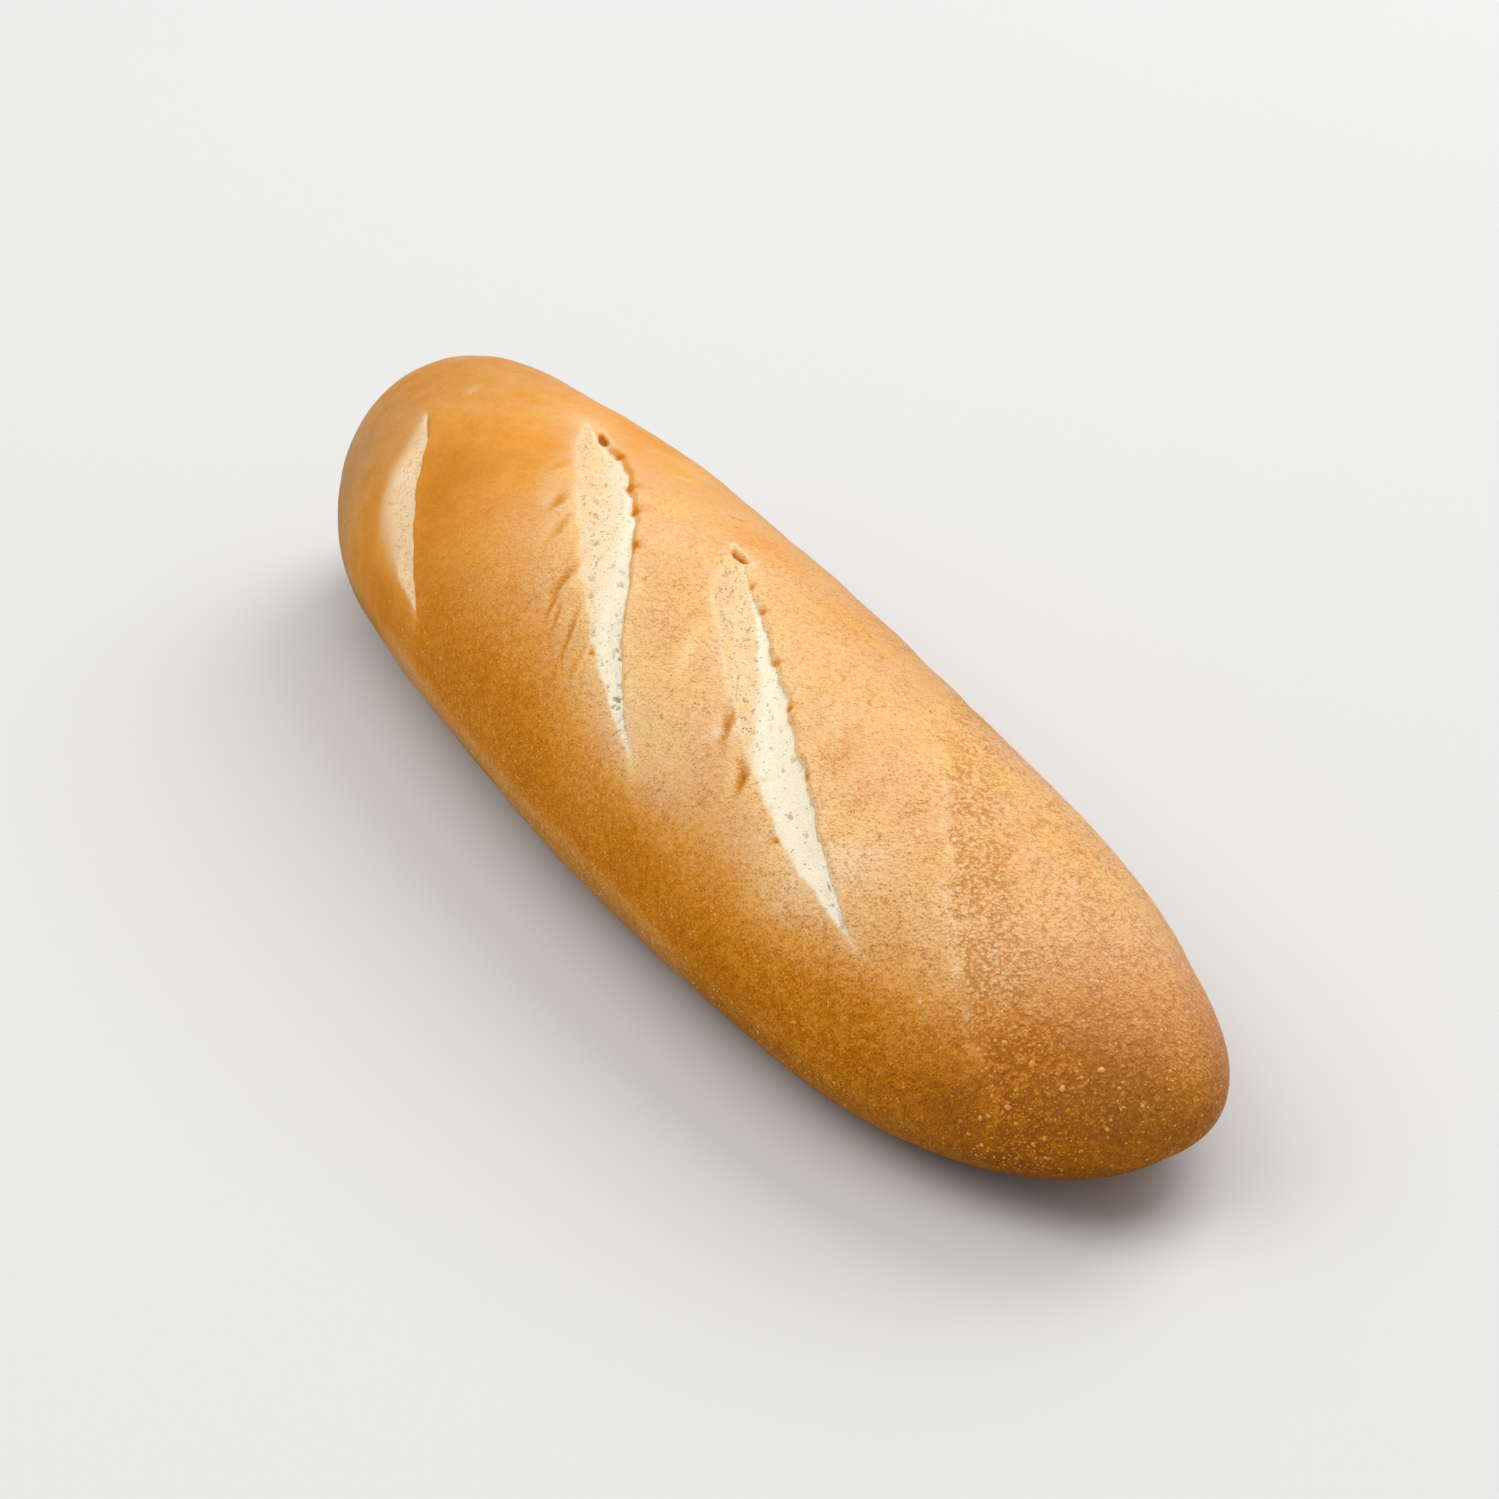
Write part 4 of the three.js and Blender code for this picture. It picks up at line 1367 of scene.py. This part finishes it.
# How strongly each pattern shows in the grain of smooth and of pebbled crust, and what
# its own middle is. The grain is partly the crust's own mottling and partly painted light
# and shade: pale bubble middles and domes are painted as lit, the valleys between them as
# shaded.
SMOOTH_GRAIN = {"dust": 4.6, "curds": 3.0, "pits": -1.0}
PEBBLED_GRAIN = {"dust": 4.0, "curds": 2.9, "bubbles": 1.5, "domes": 1.9, "valleys": -0.7}
PATTERN_MIDDLE = {"dust": 0.5, "curds": 0.5, "pits": 0.2, "bubbles": 0.5, "domes": 0, "valleys": 0.3}
MOTTLED_GRAIN = 2.4

# What the patterns do to the baking, and how strong the dark and the pale specks are,
# with the power that keeps faint ones faint.
BLOTCHES = {"clouds": 0.30, "mottle": 0.38, "grain": -0.03}
SPECK_POWER = 1.25
DARK_SPECKS = {"all": 1, "brown": -0.55, "cobble": -0.15}
PALE_SPECKS = {"all": 0.55, "brown": 0.50, "cobble": 0.12}
PALE_SPECK_BAKE = {"kept": 0.92, "paler": 0.20}
HUE_BORDER = (0.35, 0.65)

# Toast and shade of the crumb.
CRUMB_TONE = {"patches": 1.3, "even_untoasted": 0.15, "grain": 1.3}
CRUMB_SHADE = {
    "specks": 0.45, "holes": 0.7, "pores": 0.45, "crevices": 1.5, "toasted_crevices": 3.0,
    "crevice_start": 0.53, "far": 0.1, "near": 0.9,
}
TOASTED_SPECKS = {"more": 0.32, "darker": 0.35}

# Bump and roughness of the crust and its crumb.
BUMP_DISTANCE = 0.2 * MM
BUMPS = {"curds": 0.6, "bubbles": 0.6, "domes": 0.7, "valleys": 0.4, "crumb": 0.9, "dust": 0.7}
ROUGHNESS = {"crust": 0.5, "crumb": 0.2, "mottle": 0.15}
CRUST_SHINE = {"Specular IOR Level": 0.03, "IOR": 1.45, "Coat Roughness": 0.22, "Coat IOR": 1.5}

BLISTER_BAKE = {"crust": 0.48, "all": 0.02, "tones": 0.9}
BLISTER_SHINE = {"Specular IOR Level": 0.15, "IOR": 1.45, "Roughness": 0.4}
FLOOR_SHINE = {"Roughness": 0.95, "Specular IOR Level": 0.1}


def baked_colour(recipe, baked):
    """The crust's colour at a share of baking."""
    palest = CRUST_STOPS[0][0]
    span = CRUST_STOPS[-1][0] - palest
    stops = [((share - palest) / span, colour) for share, colour in CRUST_STOPS]
    return recipe.node("ShaderNodeValToRGB", {"stops": stops}, {0: (baked - palest) * (1 / span)})


def crumb_colour(recipe, place):
    """Cream crumb, grainy and specked with pores, toasted where the slash says; and its relief."""
    toast = recipe.attribute("toast")
    holed = recipe.attribute("holed")
    loose = recipe.shaken(place, *CRUMB_SHAKE)
    fine = recipe.noise(place, *CRUMB_GRAIN)
    patches = recipe.noise(place, *CRUMB_PATCHES)
    small, small_chance = recipe.cells(loose, SMALL_CELLS)
    large, large_chance = recipe.cells(loose, LARGE_CRUMB_CELLS)
    specks = small.over(*SPECK) * (small_chance + TOASTED_SPECKS["more"] * toast).over(*SPECK_CHANCE)
    specks = specks * (1 + TOASTED_SPECKS["darker"] * toast)
    holes = large.over(*HOLE) * large_chance.over(*HOLE_CHANCE) * holed
    unevenness = CRUMB_TONE["patches"] * (patches - 0.5) * (toast + CRUMB_TONE["even_untoasted"])
    tone = toast + unevenness + CRUMB_TONE["grain"] * (fine - 0.5)
    colour = recipe.mixed(tone.clamped(), CREAM, TOASTED_CREAM)
    crevices = CRUMB_SHADE["crevices"] + CRUMB_SHADE["toasted_crevices"] * toast
    crevices = crevices * (fine - CRUMB_SHADE["crevice_start"]).clamped()
    pores = CRUMB_SHADE["pores"] * recipe.attribute("pore")
    shade = CRUMB_SHADE["specks"] * specks + CRUMB_SHADE["holes"] * holes + pores + crevices
    shade = (CRUMB_SHADE["far"] + CRUMB_SHADE["near"] * recipe.attribute("grain")) * shade
    pore_colour = recipe.mixed(holed, PORE, PALE_PORE)
    return recipe.mixed(shade.clamped(), colour, pore_colour), specks + holes + fine


def crust_patterns(recipe, place):
    """Every pattern of the crust, by name, from 0 to 1."""
    loose = recipe.shaken(place, *CRUST_SHAKE)
    small, small_chance = recipe.cells(loose, SMALL_CELLS)
    large, large_chance = recipe.cells(loose, LARGE_CELLS)
    return {
        "clouds": recipe.noise(place, *CLOUDS),
        "mottle": recipe.noise(place, *MOTTLE),
        "curds": recipe.noise(place, *CURDS),
        "dust": recipe.noise(place, *DUST),
        "pits": small.over(*PIT) * small_chance.over(*PIT_CHANCE),
        "bubbles": 1 - small.over(*BUBBLE),
        "valleys": large.over(*VALLEY),
        "domes": large.over(*DOME) * large_chance.over(*DOME_CHANCE),
    }


def grain_of(patterns, strengths):
    """Sum of the patterns that a grain is made of, each about its own middle."""
    return sum(strength * (patterns[name] - PATTERN_MIDDLE[name]) for name, strength in strengths.items())


def speck_strength(specks, strengths, brown, cobble):
    """How strongly specks show where the crust is brown, and where it is pebbled."""
    strength = strengths["all"] + strengths["brown"] * brown + strengths["cobble"] * cobble
    return specks.clamped() ** SPECK_POWER * strength.clamped()


def skin_colour(recipe, place, patterns):
    """Baked crust with its blotches, dark and pale specks, drifting hue and a rosy painted sheen."""
    cobble = recipe.attribute("cobble")
    smooth_grain = grain_of(patterns, SMOOTH_GRAIN)
    even_grain = smooth_grain + cobble * (grain_of(patterns, PEBBLED_GRAIN) - smooth_grain)
    mottle = patterns["mottle"] - 0.5
    texture = recipe.attribute("grain") * (even_grain + MOTTLED_GRAIN * mottle)
    blotches = BLOTCHES["clouds"] * (patterns["clouds"] - 0.5) + BLOTCHES["mottle"] * mottle
    brown = recipe.attribute("bake") + blotches + BLOTCHES["grain"] * texture
    # Dark and pale specks, partly the crust's own mottling and partly painted shade and light on its bubbles.
    darks = speck_strength(-1 * texture, DARK_SPECKS, brown, cobble)
    lights = speck_strength(texture, PALE_SPECKS, brown, cobble)
    shaded = recipe.mixed(darks, baked_colour(recipe, brown), SHADE, "MULTIPLY")
    paler = baked_colour(recipe, PALE_SPECK_BAKE["kept"] * brown - PALE_SPECK_BAKE["paler"])
    speckled = recipe.mixed(lights, shaded, paler)
    hue = recipe.mixed(recipe.noise(place, *HUES).over(*HUE_BORDER), OCHRE, ROSY)
    skin = recipe.mixed(1, speckled, hue, "MULTIPLY")
    # The rosy painted sheen, mixed over the upper crust and the slim end.
    return recipe.mixed(recipe.attribute("bloom"), skin, PAINTED_SHEEN_COLOUR)


def crust_height(recipe, patterns, opened, crumb_relief):
    """Height of the fine bubbles of the crust and of the crumb's grain."""
    pebbles = BUMPS["domes"] * patterns["domes"] - BUMPS["valleys"] * patterns["valleys"]
    bubbles = BUMPS["curds"] * patterns["curds"] + BUMPS["bubbles"] * patterns["bubbles"]
    bubbles = recipe.attribute("grain") * (bubbles + recipe.attribute("cobble") * pebbles)
    crust_share = bubbles * (1 - opened)
    return crust_share - BUMPS["crumb"] * crumb_relief * opened + BUMPS["dust"] * patterns["dust"]


def crust_material():
    """Golden crust of fine bubbles, browner down the sides, cream where it opened."""
    recipe = Recipe("baked_crust")
    place = recipe.place()
    opened = recipe.attribute("open")
    patterns = crust_patterns(recipe, place)
    crumb, crumb_relief = crumb_colour(recipe, place)
    colour = recipe.mixed(opened, skin_colour(recipe, place, patterns), crumb)
    # Dulled, with painted shade low on the front and in the creases, and the duller half of a painted sheen
    # on the back's upper edge.
    colour = recipe.mixed(recipe.attribute("dull"), colour, SHADE_AND_DULLING_GREY, "MULTIPLY")
    height = crust_height(recipe, patterns, opened, crumb_relief)
    mottle = patterns["mottle"] - 0.5
    varied = {
        "Base Color": colour,
        "Roughness": ROUGHNESS["crust"] + ROUGHNESS["crumb"] * opened + ROUGHNESS["mottle"] * mottle,
        "Coat Weight": recipe.attribute("gloss"),
        "Normal": recipe.bump(height, BUMP_DISTANCE),
    }
    return recipe.finish(CRUST_SHINE, varied)


def blister_material():
    """Thin skin over each small bubble, paler than the crust round it."""
    recipe = Recipe("blister_skin")
    tones = recipe.noise(recipe.place(), *BLISTER_TONES) - 0.5
    baked = BLISTER_BAKE["crust"] * recipe.attribute("bake") + BLISTER_BAKE["all"]
    colour = baked_colour(recipe, baked + BLISTER_BAKE["tones"] * tones)
    return recipe.finish(BLISTER_SHINE, {"Base Color": colour})


# ---------------------------------------------------------------- studio
def add_camera():
    azimuth = CAMERA_AZIMUTH * DEGREE
    tilt = CAMERA_TILT * DEGREE
    roll = CAMERA_ROLL * DEGREE
    level = Vector((-math.sin(azimuth), math.cos(azimuth), 0))
    forward = level * math.cos(tilt) - Vector((0, 0, math.sin(tilt)))
    right = forward.cross(Vector((0, 0, 1))).normalized()
    up = right.cross(forward)
    rolled_right = right * math.cos(roll) + up * math.sin(roll)
    rolled_up = up * math.cos(roll) - right * math.sin(roll)
    lens = bpy.data.cameras.new("camera")
    lens.sensor_width = SENSOR_WIDTH
    lens.lens = FOCAL_SHARE * SENSOR_WIDTH
    lens.clip_start = NEAREST_SEEN
    camera = bpy.data.objects.new("camera", lens)
    turn = Matrix((rolled_right, rolled_up, -forward)).transposed()
    camera.matrix_world = Matrix.Translation(CAMERA_PLACE) @ turn.to_4x4()
    bpy.context.scene.collection.objects.link(camera)
    bpy.context.scene.camera = camera


def add_softbox(name, heading, height, power):
    """A square area light that faces the loaf: degrees from +X towards +Y, and up."""
    light = bpy.data.lights.new(name, "AREA")
    light.shape = "SQUARE"
    light.size = SOFTBOX_SIZE
    light.energy = power
    lamp = bpy.data.objects.new(name, light)
    level = math.cos(height * DEGREE)
    away = Vector((
        level * math.cos(heading * DEGREE),
        level * math.sin(heading * DEGREE),
        math.sin(height * DEGREE),
    ))
    lamp.location = away * SOFTBOX_DISTANCE
    lamp.rotation_mode = "QUATERNION"
    lamp.rotation_quaternion = away.to_track_quat("Z", "Y")
    bpy.context.scene.collection.objects.link(lamp)


def add_floor():
    half = FLOOR_HALF_WIDTH
    corners = np.array([(-half, -half, 0), (half, -half, 0), (half, half, 0), (-half, half, 0)])
    floor = plain_mesh("floor", corners, [(0, 1, 2, 3)])
    constants = {"Base Color": FLOOR_COLOUR, **FLOOR_SHINE}
    floor.data.materials.append(Recipe("pale_floor").finish(constants, {}))


def add_sky():
    world = bpy.data.worlds.new("soft_room")
    world.use_nodes = True
    background = world.node_tree.nodes["Background"]
    background.inputs["Color"].default_value = (1, 1, 1, 1)
    background.inputs["Strength"].default_value = SKY_STRENGTH
    bpy.context.scene.world = world


def set_studio():
    add_floor()
    add_sky()
    for name, (heading, height, power) in SOFTBOXES.items():
        add_softbox(name, heading, height, power)
    bpy.context.scene.view_settings.view_transform = "Standard"


# ---------------------------------------------------------------- scene
set_studio()
add_camera()

crust = build_crust()
crust.data.materials.append(crust_material())
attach(crust, "root")
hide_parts("loaf")

bubble_skin = blister_material()
blisters = joined(build_blisters(crust, bubble_skin), build_large_blisters(crust, bubble_skin))
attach(blisters, "root")
